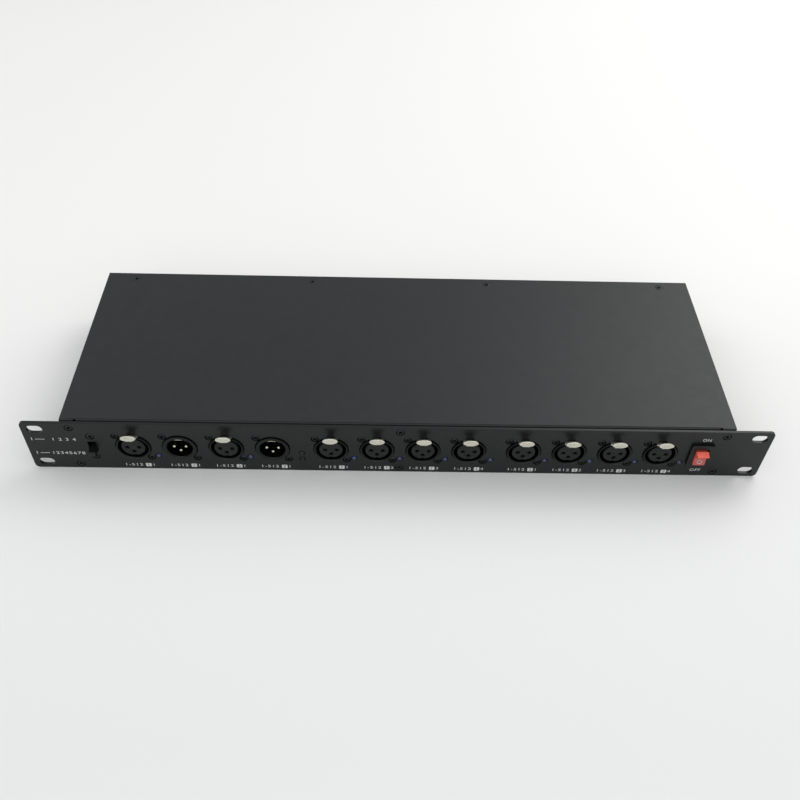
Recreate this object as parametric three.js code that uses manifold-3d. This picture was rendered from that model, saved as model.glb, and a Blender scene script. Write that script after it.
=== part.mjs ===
// DMX splitter for a 19-inch rack, one unit high, with twelve chassis sockets.
// Millimetres, +X right, +Y to the back, +Z up. The origin is the centre of the tray's bottom face.
import * as THREE from "three";
import { mergeVertices } from "three/addons/utils/BufferGeometryUtils.js";
import Module from "manifold-3d";

const wasm = await Module();
wasm.setup();

// Front panel: its height and ears fit the rack standard
const panelHeight = 44;
const panelThickness = 2;
const panelCornerRadius = 3;
const earWidth = 24.4;
const rackSlotInset = 8.75; // from the panel's end to the middle of a slot
const rackSlotEdge = 6.125; // from the panel's top or bottom edge to the middle of a slot
const rackSlotLength = 10.2;
const rackSlotHeight = 6.8;

// Chassis: a folded tray and a lid
const sheet = 1.2;
const sheetBend = 1.6; // outer radius of the tray's folds
const chassisDepth = 149.4;
const lidStep = 0.8; // the lid lies this far under the panel's top edge
const lidGap = 0.5; // between the panel's back and the lid's front edge
const lidLipDepth = 6;
const lidNotchWidth = 1.5;
const lidNotchLength = 2.4;
const cornerFlangeWidth = 9.7;
const rearFlangeDepth = 12;
const flangeClearance = 1; // between the tray's front flange and the sockets above it

// Chassis sockets, mounted from behind
const barrelDiameter = 22.4;
const barrelProud = 1; // in front of the panel
const barrelGap = 0.3; // all round in the panel's hole
const socketFlangeMargin = 1.8; // flange beyond the barrel
const socketFlangeThickness = 3;
const socketFlangeCorner = 3;
const ringWall = 1.4;
const sleeveGap = 2.15; // the ring-shaped space that takes a plug's sleeve
const insertProud = 0.5; // in front of the panel
const insertEdge = 0.5;
const insertBaseLength = 4;
const contactRadius = 3.85; // from the socket's axis to each contact
const contactDiameter = 2.4;
const contactDepth = 9;
const keyWidth = 2.2;
const keyDepth = 0.9;
const housingWidth = 23;
const housingDepth = 17; // behind the flange
const housingDrop = 14.2; // from the socket's axis to the circuit board
const legWidth = 0.9;
const legInset = 1.7; // from the rim of a male insert to its outer legs
const fitGap = 0.3;

// Male sockets
const maleRingWall = 2.85;
const maleFloorDepth = 11.5; // behind the panel's back
const maleInsertLength = 5;
const pinSetBack = 0.3; // pin tips behind the panel's front
const catchWidth = 5.5;
const catchHeight = 0.8;
const catchLength = 3;

// Latch of a female socket: a lever in the ring's top, with a tab in front
const latchHalfAngle = THREE.MathUtils.degToRad(24);
const latchThickness = 1.2;
const latchRingGap = 0.1; // between the lever and the bore's line
const latchRise = 0.7; // room above the lever
const latchFront = 0.2; // lever in front of the barrel
const latchLength = 11;
const latchPivotShare = 0.5; // of the flange's thickness
const latchPivotRiseShare = 0.3; // of the lever's thickness
const trunnionDiameter = 1.2;
const trunnionReach = 1;
const hookWidth = 5;
const hookDrop = 1.3;
const hookLength = 2.5;
const tabWidth = 9.9;
const tabHeight = 4.2;
const tabThickness = 1.2;
const tabReach = 5; // middle of the tab in front of the panel
const tabRise = 14; // middle of the tab above the socket's axis
const tabTilt = THREE.MathUtils.degToRad(10);
const neckWidth = 4.8;

// Rows of sockets
const socketsInGroup = 4;
const groupCount = 3;
const maleSockets = [1, 3];
const leftZone = 44; // from the chassis's left side to the first socket
const rightZone = 45.8;
const groupGaps = [8, 6]; // beyond the pitch, between groups

// Status lamps, and two small indicators beside the first group
const ledDiameter = 3;
const ledClearance = 0.5; // to the flanges on both sides
const ledDrop = 8.5; // under the sockets' axis
const ledProud = 0.6;
const ledHoleGap = 0.2;
const indicatorDrops = [4.1, 9.9];
const ledLegWidth = 2.5;
const ledLegThickness = 0.6;

// Screws
const panelScrewEdge = 4.5; // from the panel's top or bottom edge
const panelScrewInset = 6.2; // from the chassis's side
const screwHead = 5.7;
const screwHeadDepth = 1.5;
const screwShank = 3;
const sinkGap = 0.3;
const lidScrewHead = 5.5;
const lidScrewLength = 5;
const lidScrewBack = 6.1; // from the chassis's back
const lidScrewInset = 21.4; // from the chassis's side
const lidScrewCount = 4;

// Mode slide switch
const modeInset = 17.9; // from the chassis's side
const modeWindowWidth = 5.6;
const modeWindowHeight = 9.4;
const modeFrameWidth = 9;
const modeFrameThickness = 1;
const modeFrameEdge = 2.5; // frame beyond its screws
const modeScrewSpacing = 19;
const modeCaseHeight = 14;
const modeCaseDepth = 7;
const modeCaseWall = 1;
const modePocketDepth = 5;
const knobHeight = 3.5;
const knobProud = 5;
const knobTaper = 0.4;

// Power rocker switch
const powerInset = 19.3; // from the chassis's side
const bezelWidth = 15.2;
const bezelHeight = 21;
const bezelProud = 2;
const bezelRadius = 1.5;
const bezelLip = 1; // bezel beyond the switch's body
const powerBodyDepth = 18;
const rockerWidth = 7.7;
const rockerFace = 11.4; // height of the rocker's face
const rockerReach = 5.2; // from the rocker's axis to its face
const rockerDish = 0.5;
const rockerEndDepth = 4.4; // of the square ends, behind the face
const rockerShoulder = 0.5; // slope from each end down to the waist
const rockerWaist = 4.5; // half the rocker's height behind its ends
const rockerTilt = THREE.MathUtils.degToRad(15);
const rockerDepth = 5; // behind its axis
const rockerStem = 3;
const rockerGap = 0.3;
const rockerPin = 2;
const rockerPinReach = 1;
const rockerCavityFloor = 1; // from the rocker's back to the cavity's floor
const powerTabWidth = 6.3;
const powerTabThickness = 0.8;
const powerTabLength = 8;
const powerTabSpacing = 7;

// Mains inlet with a fuse drawer, in the rear wall
const inletInset = 40.6; // from the chassis's side
const inletWidth = 30.6;
const inletHeight = 33.6;
const inletProud = 3;
const inletRadius = 2;
const inletLip = 1.6; // flange beyond the body
const inletBodyDepth = 24;
const socketWidth = 24.4;
const socketHeight = 16.6;
const socketDepth = 16;
const socketChamfer = 4;
const socketTopMargin = 2.4; // from the flange's top edge
const bladeWidth = 2;
const bladeHeight = 4;
const bladeLength = 13.5;
const bladeSpacing = 14;
const bladeOffset = 4;
const bladeTail = 6; // behind the body
const drawerWidth = 23;
const drawerHeight = 8.4;
const drawerBottomMargin = 2.6; // from the flange's bottom edge
const drawerDepth = 14;
const drawerFace = 1.8;
const drawerProud = 0.8;
const drawerWall = 1.2;
const drawerGripDepth = 0.8;
const fuseDiameter = 5.2;
const fuseEndGap = 0.3;

// Boards, on stand-offs that are pressed into the tray
const boardThickness = 1.6;
const boardDepth = 58;
const boardEdge = 16; // board beyond the outer sockets
const standoffDiameter = 5.6;
const standoffEdge = 5; // from the board's edge
const converterWidth = 19.5;
const converterDepth = 10;
const converterHeight = 8;
const supplyWidth = 92;
const supplyRearGap = 12.9; // from the supply board to the rear wall
const supplyGap = 12; // between the two boards
const supplyInset = 64; // from the chassis's side
const capacitorDiameter = 18;
const capacitorHeight = 20;
const coreWidth = 42;
const coreDepth = 15;
const coreHeight = 30;
const windingWidth = 27;
const windingDepth = 31;
const windingHeight = 24;
const partMargin = 4; // from the supply board's edge to its parts

// Facets
const ringSides = 18;
const insertSides = 16;
const screwSides = 10;
const lampSides = 6;
const smallSides = 6;
const cornerSteps = 2;
const arcSteps = 3;
const mergeDistance = 1e-4;
const overrun = 1; // cuts run past what they cut

// Places that follow from the sizes
const socketFlange = barrelDiameter + 2 * socketFlangeMargin;
const socketPitch = socketFlange + ledDiameter + 2 * ledClearance;
const socketCount = socketsInGroup * groupCount;
const groupGapSum = groupGaps.reduce((sum, gap) => sum + gap, 0);
const chassisWidth = leftZone + (socketCount - 1) * socketPitch + groupGapSum + rightZone;
const chassisHalf = chassisWidth / 2;
const panelWidth = chassisWidth + 2 * earWidth;
const panelFront = -panelThickness;
const socketHeightUp = panelHeight / 2;
const panelScrewLength = panelThickness + socketFlangeThickness;
const lidTop = panelHeight - lidStep;
const wallTop = lidTop - sheet;
const lipHalf = chassisHalf - cornerFlangeWidth - lidNotchWidth / 2;
const frontFlangeTop = socketHeightUp - socketFlange / 2 - flangeClearance;
const boardTop = socketHeightUp - housingDrop;
const boardBottom = boardTop - boardThickness;
const boardFront = socketFlangeThickness + fitGap;
const boardBack = boardFront + boardDepth;
const barrelFront = panelFront - barrelProud;
const barrelRadius = barrelDiameter / 2;
const panelHoleRadius = barrelRadius + barrelGap;
const femaleBore = barrelRadius - ringWall;
const maleBore = barrelRadius - maleRingWall;
const insertRadius = femaleBore - sleeveGap;
const legPitch = maleBore - fitGap - legInset;
const housingBack = socketFlangeThickness + housingDepth;

function socketX(index) {
  const group = Math.floor(index / socketsInGroup);
  const gapsBefore = groupGaps.slice(0, group).reduce((sum, gap) => sum + gap, 0);
  return -chassisHalf + leftZone + index * socketPitch + gapsBefore;
}

const socketIndexes = Array.from({ length: socketCount }, (_, index) => index);
const femaleIndexes = socketIndexes.filter((index) => !maleSockets.includes(index));
const indicatorX = (socketX(socketsInGroup - 1) + socketX(socketsInGroup)) / 2;

// Solids

// A closed three.js geometry as a solid for joins and cuts.
function solid(geometry) {
  geometry.deleteAttribute("normal");
  geometry.deleteAttribute("uv");
  const merged = mergeVertices(geometry, mergeDistance);
  const corners = Array.from(merged.index.array);
  const kept = [];
  for (let i = 0; i < corners.length; i += 3) {
    const [a, b, c] = corners.slice(i, i + 3);
    if (a !== b && b !== c && c !== a) kept.push(a, b, c);
  }
  const vertProperties = merged.attributes.position.array;
  return new wasm.Manifold(
    new wasm.Mesh({ numProp: 3, vertProperties, triVerts: new Uint32Array(kept) }),
  );
}

function joined(...solids) {
  return solids.reduce((whole, piece) => whole.add(piece));
}

function cut(body, ...cutters) {
  return cutters.reduce((rest, cutter) => rest.subtract(cutter), body);
}

function block([left, right], [front, back], [bottom, top]) {
  const geometry = new THREE.BoxGeometry(right - left, back - front, top - bottom);
  geometry.translate((left + right) / 2, (front + back) / 2, (bottom + top) / 2);
  return solid(geometry);
}

// A round bar along Y.
function rod(radius, front, back, sides, x = 0, z = 0) {
  const geometry = new THREE.CylinderGeometry(radius, radius, back - front, sides);
  return solid(geometry.translate(x, (front + back) / 2, z));
}

// A round bar along Z.
function post(radius, bottom, top, sides, x, y) {
  const geometry = new THREE.CylinderGeometry(radius, radius, top - bottom, sides);
  return solid(geometry.rotateX(Math.PI / 2).translate(x, y, (bottom + top) / 2));
}

// A round bar along X.
function crossBar(radius, left, right, sides, y, z) {
  const geometry = new THREE.CylinderGeometry(radius, radius, right - left, sides);
  return solid(geometry.rotateZ(Math.PI / 2).translate((left + right) / 2, y, z));
}

// A profile of [radius, y] points from the axis to the axis, front to back, turned about Y.
function turned(profile, sides) {
  const points = profile.map(([radius, y]) => new THREE.Vector2(radius, y));
  return solid(new THREE.LatheGeometry(points, sides));
}

// An outline of [x, z] points, extruded along Y.
function slab(outline, front, back) {
  const shape = new THREE.Shape(outline.map(([x, z]) => new THREE.Vector2(x, z)));
  const geometry = new THREE.ExtrudeGeometry(shape, { depth: back - front, bevelEnabled: false });
  return solid(geometry.rotateX(Math.PI / 2).translate(0, back, 0));
}

// A side profile of [y, z] points, extruded along X.
function bar(profile, left, right) {
  const shape = new THREE.Shape(profile.map(([y, z]) => new THREE.Vector2(y, z)));
  const geometry = new THREE.ExtrudeGeometry(shape, { depth: right - left, bevelEnabled: false });
  const sideways = new THREE.Matrix4().makeBasis(
    new THREE.Vector3(0, 1, 0),
    new THREE.Vector3(0, 0, 1),
    new THREE.Vector3(1, 0, 0),
  );
  return solid(geometry.applyMatrix4(sideways).translate(left, 0, 0));
}

function arc(centreX, centreY, radius, from, to, steps) {
  return Array.from({ length: steps + 1 }, (_, i) => {
    const angle = from + ((to - from) * i) / steps;
    return [centreX + radius * Math.cos(angle), centreY + radius * Math.sin(angle)];
  });
}

function roundedRectangle(width, height, radius, steps = cornerSteps) {
  const across = width / 2 - radius;
  const up = height / 2 - radius;
  const quarter = Math.PI / 2;
  return [
    ...arc(across, up, radius, 0, quarter, steps),
    ...arc(-across, up, radius, quarter, 2 * quarter, steps),
    ...arc(-across, -up, radius, 2 * quarter, 3 * quarter, steps),
    ...arc(across, -up, radius, 3 * quarter, 4 * quarter, steps),
  ];
}

function moved(outline, x, z) {
  return outline.map(([across, up]) => [across + x, up + z]);
}

// Part of a ring about the Y axis, with its middle at the top.
function ringSector(inner, outer, halfAngle) {
  const top = Math.PI / 2;
  return [
    ...arc(0, 0, outer, top - halfAngle, top + halfAngle, arcSteps),
    ...arc(0, 0, inner, top + halfAngle, top - halfAngle, arcSteps),
  ];
}

// Materials
const paint = (color, roughness, metalness) =>
  new THREE.MeshStandardMaterial({ color, roughness, metalness });
const materials = {
  panel: paint("#2b2e2f", 0.42, 0.3),
  cover: paint("#3e4245", 0.5, 0.3),
  shell: paint("#6b6f71", 0.35, 0.9),
  insert: paint("#242626", 0.6, 0),
  nickel: paint("#bebeb5", 0.25, 1),
  plastic: paint("#1c1d1e", 0.45, 0),
  rocker: paint("#a04a48", 0.3, 0),
  screw: paint("#202223", 0.4, 0.8),
  board: paint("#2c5a3c", 0.55, 0),
  core: paint("#77736b", 0.5, 0.7),
  fuse: paint("#c9cfd2", 0.15, 0.2),
};

const unit = new THREE.Group();
unit.position.y = -chassisDepth / 2; // pieces are placed from the panel's back face

function addPiece(name, body, material, x = 0, y = 0, z = 0, parent = unit) {
  const mesh = body.getMesh();
  const geometry = new THREE.BufferGeometry();
  geometry.setAttribute("position", new THREE.BufferAttribute(mesh.vertProperties, 3));
  geometry.setIndex(new THREE.BufferAttribute(mesh.triVerts, 1));
  geometry.computeVertexNormals();
  const piece = new THREE.Mesh(geometry, material);
  piece.name = name;
  piece.position.set(x, y, z);
  parent.add(piece);
  return piece;
}

// Screws: a countersunk head whose face is at y = 0, with the shank behind it
function countersunk(headDiameter, length, growth = 0) {
  const head = headDiameter / 2 + growth;
  const shank = screwShank / 2 + growth;
  return turned(
    [
      [0, 0],
      [head, 0],
      [shank, screwHeadDepth],
      [shank, length],
      [0, length],
    ],
    screwSides,
  );
}

// The cut for such a screw, open beyond its face.
function sink(headDiameter, length) {
  const mouth = rod(headDiameter / 2 + sinkGap, -overrun, 0, screwSides);
  return joined(countersunk(headDiameter, length, sinkGap), mouth);
}

function panelSink(x, z) {
  return sink(screwHead, panelScrewLength).translate([x, panelFront, z]);
}

const panelScrewX = chassisHalf - panelScrewInset;
const panelScrewPlaces = [-panelScrewX, 0, panelScrewX].flatMap((x) => [
  { x, z: panelHeight - panelScrewEdge, row: "top" },
  { x, z: panelScrewEdge, row: "bottom" },
]);
const modeX = -chassisHalf + modeInset;
const modeScrewHeights = [1, -1].map((side) => socketHeightUp + (side * modeScrewSpacing) / 2);
const powerX = chassisHalf - powerInset;

// Front panel
function frontPanel() {
  const plate = slab(
    moved(roundedRectangle(panelWidth, panelHeight, panelCornerRadius), 0, panelHeight / 2),
    panelFront,
    0,
  );
  const through = [panelFront - overrun, overrun];
  const slotX = panelWidth / 2 - rackSlotInset;
  const slotOutline = roundedRectangle(rackSlotLength, rackSlotHeight, rackSlotHeight / 2, arcSteps);
  const slots = [-slotX, slotX].flatMap((x) =>
    [rackSlotEdge, panelHeight - rackSlotEdge].map((z) => slab(moved(slotOutline, x, z), ...through)),
  );
  const sockets = socketIndexes.map((index) =>
    rod(panelHoleRadius, ...through, ringSides, socketX(index), socketHeightUp),
  );
  const ledRadius = ledDiameter / 2 + ledHoleGap;
  const lamps = femaleIndexes.map((index) =>
    rod(ledRadius, ...through, lampSides, socketX(index) + socketPitch / 2, socketHeightUp - ledDrop),
  );
  const indicators = indicatorDrops.map((drop) =>
    rod(ledRadius, ...through, lampSides, indicatorX, socketHeightUp - drop),
  );
  const screws = panelScrewPlaces.map(({ x, z }) => panelSink(x, z));
  const modeScrews = modeScrewHeights.map((z) => panelSink(modeX, z));
  const modeWindow = block(
    [modeX - modeWindowWidth / 2, modeX + modeWindowWidth / 2],
    through,
    [socketHeightUp - modeWindowHeight / 2, socketHeightUp + modeWindowHeight / 2],
  );
  const powerWindow = block(
    [powerX - bezelWidth / 2 + bezelLip - fitGap, powerX + bezelWidth / 2 - bezelLip + fitGap],
    through,
    [
      socketHeightUp - bezelHeight / 2 + bezelLip - fitGap,
      socketHeightUp + bezelHeight / 2 - bezelLip + fitGap,
    ],
  );
  const openings = [...slots, ...sockets, ...lamps, ...indicators, ...screws, ...modeScrews];
  return cut(plate, ...openings, modeWindow, powerWindow);
}
addPiece("front_panel", frontPanel(), materials.panel);

// Lid screws' places
const lidScrewX = chassisHalf - lidScrewInset;
const lidScrewY = chassisDepth - lidScrewBack;
const lidScrewPlaces = Array.from(
  { length: lidScrewCount },
  (_, i) => -lidScrewX + (2 * lidScrewX * i) / (lidScrewCount - 1),
);
const quarterTurn = 90; // degrees

// The countersunk holes that the lid screws need in the lid and in the tray's rear flange.
function lidSinks() {
  return lidScrewPlaces.map((x) => {
    const hole = sink(lidScrewHead, lidScrewLength).rotate([-quarterTurn, 0, 0]);
    return hole.translate([x, lidScrewY, lidTop]);
  });
}
const inletX = chassisHalf - inletInset;
const inletMiddle = wallTop / 2;

// Boards' places and stand-offs
const boardLeft = socketX(0) - boardEdge;
const boardRight = socketX(socketCount - 1) + socketPitch / 2 + ledLegWidth;
const supplyRight = chassisHalf - supplyInset;
const supplyLeft = supplyRight - supplyWidth;
const supplyFront = boardBack + supplyGap;
const supplyBack = chassisDepth - sheet - supplyRearGap;
const boardStandoffShares = [0, 1 / 2, 1];

function standoffs() {
  const left = boardLeft + standoffEdge;
  const right = boardRight - standoffEdge;
  const under = boardStandoffShares.flatMap((share) =>
    [housingBack + standoffEdge, boardBack - standoffEdge].map((y) => [left + (right - left) * share, y]),
  );
  const supply = [supplyLeft + standoffEdge, supplyRight - standoffEdge].flatMap((x) =>
    [supplyFront + standoffEdge, supplyBack - standoffEdge].map((y) => [x, y]),
  );
  return [...under, ...supply].map(([x, y]) =>
    post(standoffDiameter / 2, sheet / 2, boardBottom, smallSides, x, y),
  );
}

// Bottom tray: a U-shaped fold with a rear wall, a rear flange, a front flange and two corner flanges
function chassisTray() {
  const outerWidth = chassisHalf - sheetBend;
  const innerBend = sheetBend - sheet;
  const quarter = Math.PI / 2;
  const fold = [
    [-chassisHalf, wallTop],
    ...arc(-outerWidth, sheetBend, sheetBend, 2 * quarter, 3 * quarter, cornerSteps),
    ...arc(outerWidth, sheetBend, sheetBend, 3 * quarter, 4 * quarter, cornerSteps),
    [chassisHalf, wallTop],
    [chassisHalf - sheet, wallTop],
    ...arc(outerWidth, sheetBend, innerBend, 4 * quarter, 3 * quarter, cornerSteps),
    ...arc(-outerWidth, sheetBend, innerBend, 3 * quarter, 2 * quarter, cornerSteps),
    [-chassisHalf + sheet, wallTop],
  ];
  const innerHalf = chassisHalf - sheet / 2;
  const rearWall = block(
    [-innerHalf, innerHalf],
    [chassisDepth - sheet, chassisDepth],
    [sheet / 2, wallTop],
  );
  const rearFlange = block(
    [-innerHalf, innerHalf],
    [chassisDepth - rearFlangeDepth, chassisDepth - sheet / 2],
    [wallTop - sheet, wallTop],
  );
  const frontFlange = block([-innerHalf, innerHalf], [0, sheet], [sheet / 2, frontFlangeTop]);
  const cornerFlanges = [-1, 1].map((side) => {
    const inner = side * (chassisHalf - cornerFlangeWidth);
    const outer = side * innerHalf;
    return block([Math.min(inner, outer), Math.max(inner, outer)], [0, sheet], [sheet / 2, wallTop]);
  });
  const screwHoles = panelScrewPlaces.map(({ x, z }) =>
    rod(screwShank / 2 + sinkGap, -overrun, sheet + overrun, smallSides, x, z),
  );
  const inletWindow = block(
    [inletX - inletWidth / 2 + inletLip - fitGap, inletX + inletWidth / 2 - inletLip + fitGap],
    [chassisDepth - sheet - overrun, chassisDepth + overrun],
    [
      inletMiddle - inletHeight / 2 + inletLip - fitGap,
      inletMiddle + inletHeight / 2 - inletLip + fitGap,
    ],
  );
  const flangeReliefs = block(
    [inletX - inletWidth / 2, inletX + inletWidth / 2],
    [chassisDepth - rearFlangeDepth - overrun, chassisDepth - sheet],
    [wallTop - sheet - overrun, wallTop + overrun],
  );
  const folded = joined(
    slab(fold, 0, chassisDepth),
    rearWall,
    rearFlange,
    frontFlange,
    ...cornerFlanges,
    ...standoffs(),
  );
  return cut(folded, ...screwHoles, ...lidSinks(), inletWindow, flangeReliefs);
}
addPiece("chassis_tray", chassisTray(), materials.cover);

// Lid: a flat sheet with its front lip bent down behind the panel, and a relief notch at each end of the lip
function topCover() {
  const halfTurn = [0, 0, 180];
  const quarter = Math.PI / 2;
  const bendY = lidGap + sheetBend;
  const bendZ = lidTop - sheetBend;
  const section = [
    [chassisDepth, lidTop],
    ...arc(bendY, bendZ, sheetBend, quarter, 2 * quarter, cornerSteps),
    [lidGap, wallTop - lidLipDepth],
    [lidGap + sheet, wallTop - lidLipDepth],
    ...arc(bendY, bendZ, sheetBend - sheet, 2 * quarter, quarter, cornerSteps),
    [chassisDepth, wallTop],
  ];
  const folded = bar(section, -chassisHalf, chassisHalf);
  const ends = [-1, 1].flatMap((side) => {
    const edges = [side * lipHalf, side * (lipHalf + lidNotchWidth)];
    const beyond = [side * (lipHalf + lidNotchWidth / 2), side * (chassisHalf + overrun)];
    const notch = block(
      [Math.min(...edges), Math.max(...edges)],
      [lidGap - overrun, lidGap + lidNotchLength],
      [wallTop - lidLipDepth - overrun, lidTop + overrun],
    );
    const lipEnd = block(
      [Math.min(...beyond), Math.max(...beyond)],
      [lidGap - overrun, lidGap + lidNotchLength],
      [wallTop - lidLipDepth - overrun, wallTop],
    );
    return [notch, lipEnd];
  });
  const lipHole = rod(
    screwShank / 2 + sinkGap,
    lidGap - overrun,
    lidGap + sheet + overrun,
    smallSides,
    0,
    panelHeight - panelScrewEdge,
  );
  // The lid is cut while it lies turned round, rear edge to the front, then turned back.
  const lying = [folded, ...ends, lipHole, ...lidSinks()].map((piece) => piece.rotate(halfTurn));
  return cut(...lying).rotate(halfTurn);
}
addPiece("top_cover", topCover(), materials.cover);

// Panel and lid screws
panelScrewPlaces.forEach(({ x, z, row }, i) => {
  const side = ["left", "middle", "right"][Math.floor(i / 2)];
  const name = `panel_screw_${row}_${side}`;
  addPiece(name, countersunk(screwHead, panelScrewLength), materials.screw, x, panelFront, z);
});
lidScrewPlaces.forEach((x, i) => {
  const body = countersunk(lidScrewHead, lidScrewLength).rotate([-quarterTurn, 0, 0]);
  addPiece(`lid_screw_${i + 1}`, body, materials.screw, x, lidScrewY, lidTop);
});

// A socket's shell, about the socket's axis: barrel and flange in front, housing down to the board
function socketShell(boreRadius, backOpen) {
  const flange = slab(
    roundedRectangle(socketFlange, socketFlange, socketFlangeCorner),
    0,
    socketFlangeThickness,
  );
  const barrel = rod(barrelRadius, barrelFront, socketFlangeThickness, ringSides);
  const housing = block(
    [-housingWidth / 2, housingWidth / 2],
    [socketFlangeThickness - sheet, housingBack],
    [-housingDrop, barrelRadius],
  );
  const footCut = block(
    [-socketFlange, socketFlange],
    [0 - overrun, socketFlangeThickness],
    [-socketFlange, -socketFlange / 2],
  );
  const bore = rod(boreRadius, barrelFront - overrun, housingBack + overrun, ringSides);
  const legSlot = block(
    [-legPitch - legWidth, legPitch + legWidth],
    [backOpen, housingBack + overrun],
    [-housingDrop - overrun, 0],
  );
  return cut(joined(flange, barrel, housing), footCut, bore, legSlot);
}

// Three legs from the insert's base down to the board.
function legs(front) {
  const places = [-legPitch, 0, legPitch];
  return places.map((x) => {
    const across = [x - legWidth / 2, x + legWidth / 2];
    return joined(
      block(across, [front, front + 2 * legWidth], [-contactRadius, -contactRadius + legWidth]),
      block(across, [front + legWidth, front + 2 * legWidth], [-housingDrop, -contactRadius + legWidth]),
    );
  });
}

const contactPlaces = [
  [-contactRadius, 0],
  [contactRadius, 0],
  [0, -contactRadius],
];

// Female socket
const latchPivotY = socketFlangeThickness * latchPivotShare;
const latchInner = femaleBore + latchRingGap;
const latchOuter = latchInner + latchThickness;
const latchPivotHeight = latchInner * Math.cos(latchHalfAngle) + latchThickness * latchPivotRiseShare;
const latchNotch = latchOuter * Math.sin(latchHalfAngle) + fitGap; // half width of the notch round it
const trunnionInner = latchInner * Math.sin(latchHalfAngle) - latchThickness / 2;
const trunnionOuter = latchNotch + trunnionReach;

function femaleShell() {
  const insertBaseBack = housingBack - fitGap - 2 * legWidth;
  const shell = socketShell(femaleBore, insertBaseBack);
  const across = [-latchNotch, latchNotch];
  const notch = block(
    across,
    [barrelFront - overrun, latchLength + fitGap],
    [insertRadius + fitGap, latchOuter + latchRise],
  );
  const pivotHole = crossBar(
    trunnionDiameter / 2 + fitGap,
    -trunnionOuter - fitGap,
    trunnionOuter + fitGap,
    smallSides,
    latchPivotY,
    latchPivotHeight,
  );
  return cut(shell, notch, pivotHole);
}

function femaleInsert() {
  const front = panelFront - insertProud;
  const baseBack = housingBack - fitGap - 2 * legWidth;
  const baseFront = baseBack - insertBaseLength;
  const baseRadius = femaleBore - fitGap;
  const body = turned(
    [
      [0, front],
      [insertRadius - insertEdge, front],
      [insertRadius, front + insertEdge],
      [insertRadius, baseFront],
      [baseRadius, baseFront],
      [baseRadius, baseBack],
      [0, baseBack],
    ],
    insertSides,
  );
  const holes = contactPlaces.map(([x, z]) =>
    rod(contactDiameter / 2, front - overrun, front + contactDepth, smallSides, x, z),
  );
  const key = block(
    [-keyWidth / 2, keyWidth / 2],
    [front - overrun, baseFront - overrun],
    [-insertRadius - overrun, -insertRadius + keyDepth],
  );
  return cut(joined(body, ...legs(baseBack - legWidth)), ...holes, key);
}

function femaleLatch() {
  const leverFront = barrelFront - latchFront;
  const lever = slab(ringSector(latchInner, latchOuter, latchHalfAngle), leverFront, latchLength);
  const trunnions = crossBar(
    trunnionDiameter / 2,
    -trunnionOuter,
    trunnionOuter,
    smallSides,
    latchPivotY,
    latchPivotHeight,
  );
  const keptTrunnions = cut(
    trunnions,
    block([-trunnionInner, trunnionInner], [-socketFlange, socketFlange], [0, socketFlange]),
  );
  const hook = bar(
    [
      [latchLength, latchInner + latchThickness / 2],
      [latchLength - hookLength, latchInner + latchThickness / 2],
      [latchLength - hookLength, latchInner - hookDrop / 2],
      [latchLength - hookLength / 2, latchInner - hookDrop],
      [latchLength, latchInner - hookDrop],
    ],
    -hookWidth / 2,
    hookWidth / 2,
  );
  const tabY = panelFront - tabReach;
  const neckLow = latchInner + latchThickness / 4;
  const neck = bar(
    [
      [leverFront + latchThickness, neckLow],
      [leverFront + latchThickness, latchOuter - latchThickness / 4],
      [leverFront, latchOuter],
      [tabY + tabThickness, tabRise],
      [tabY, tabRise],
      [tabY - tabThickness, neckLow + latchThickness / 2],
      [tabY, neckLow],
    ],
    -neckWidth / 2,
    neckWidth / 2,
  );
  const oval = arc(0, 0, 1, 0, 2 * Math.PI, insertSides).slice(0, -1);
  const outline = oval.map(([x, z]) => [(x * tabWidth) / 2, (z * tabHeight) / 2]);
  const tab = slab(outline, -tabThickness / 2, tabThickness / 2);
  const turnedTab = tab.rotate([-THREE.MathUtils.radToDeg(tabTilt), 0, 0]).translate([0, tabY, tabRise]);
  return joined(lever, keptTrunnions, hook, neck, turnedTab);
}

// Male socket
function maleShell() {
  const shell = socketShell(maleBore, maleFloorDepth + maleInsertLength);
  const catchFront = panelFront;
  const catchLip = block(
    [-catchWidth / 2, catchWidth / 2],
    [catchFront, catchFront + catchLength],
    [maleBore - catchHeight, maleBore + catchHeight],
  );
  const keyAngle = Math.PI / 4;
  const key = block(
    [-keyWidth / 2, keyWidth / 2],
    [barrelFront - overrun, maleFloorDepth],
    [0, maleBore + keyDepth],
  );
  return cut(joined(shell, catchLip), key.rotate([0, THREE.MathUtils.radToDeg(keyAngle), 0]));
}

function maleInsert() {
  const back = maleFloorDepth + maleInsertLength;
  const disc = rod(maleBore - fitGap, maleFloorDepth, back, insertSides);
  const tip = panelFront + pinSetBack;
  const radius = contactDiameter / 2;
  const pins = contactPlaces.map(([x, z]) => {
    const pin = turned(
      [
        [0, tip],
        [radius / 2, tip + radius / 4],
        [radius, tip + radius],
        [radius, back],
        [0, back],
      ],
      smallSides,
    );
    return pin.translate([x, 0, z]);
  });
  return joined(disc, ...pins, ...legs(back - legWidth));
}

const parts = { shell: femaleShell(), insert: femaleInsert(), latch: femaleLatch() };
const maleParts = { shell: maleShell(), insert: maleInsert() };
socketIndexes.forEach((index) => {
  const group = new THREE.Group();
  group.position.set(socketX(index), 0, socketHeightUp);
  unit.add(group);
  const name = `socket_${String(index + 1).padStart(2, "0")}`;
  const male = maleSockets.includes(index);
  const { shell, insert } = male ? maleParts : parts;
  addPiece(`${name}_shell`, shell, materials.shell, 0, 0, 0, group);
  addPiece(`${name}_insert`, insert, materials.insert, 0, 0, 0, group);
  if (!male) addPiece(`${name}_latch`, parts.latch, materials.nickel, 0, 0, 0, group);
});

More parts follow.
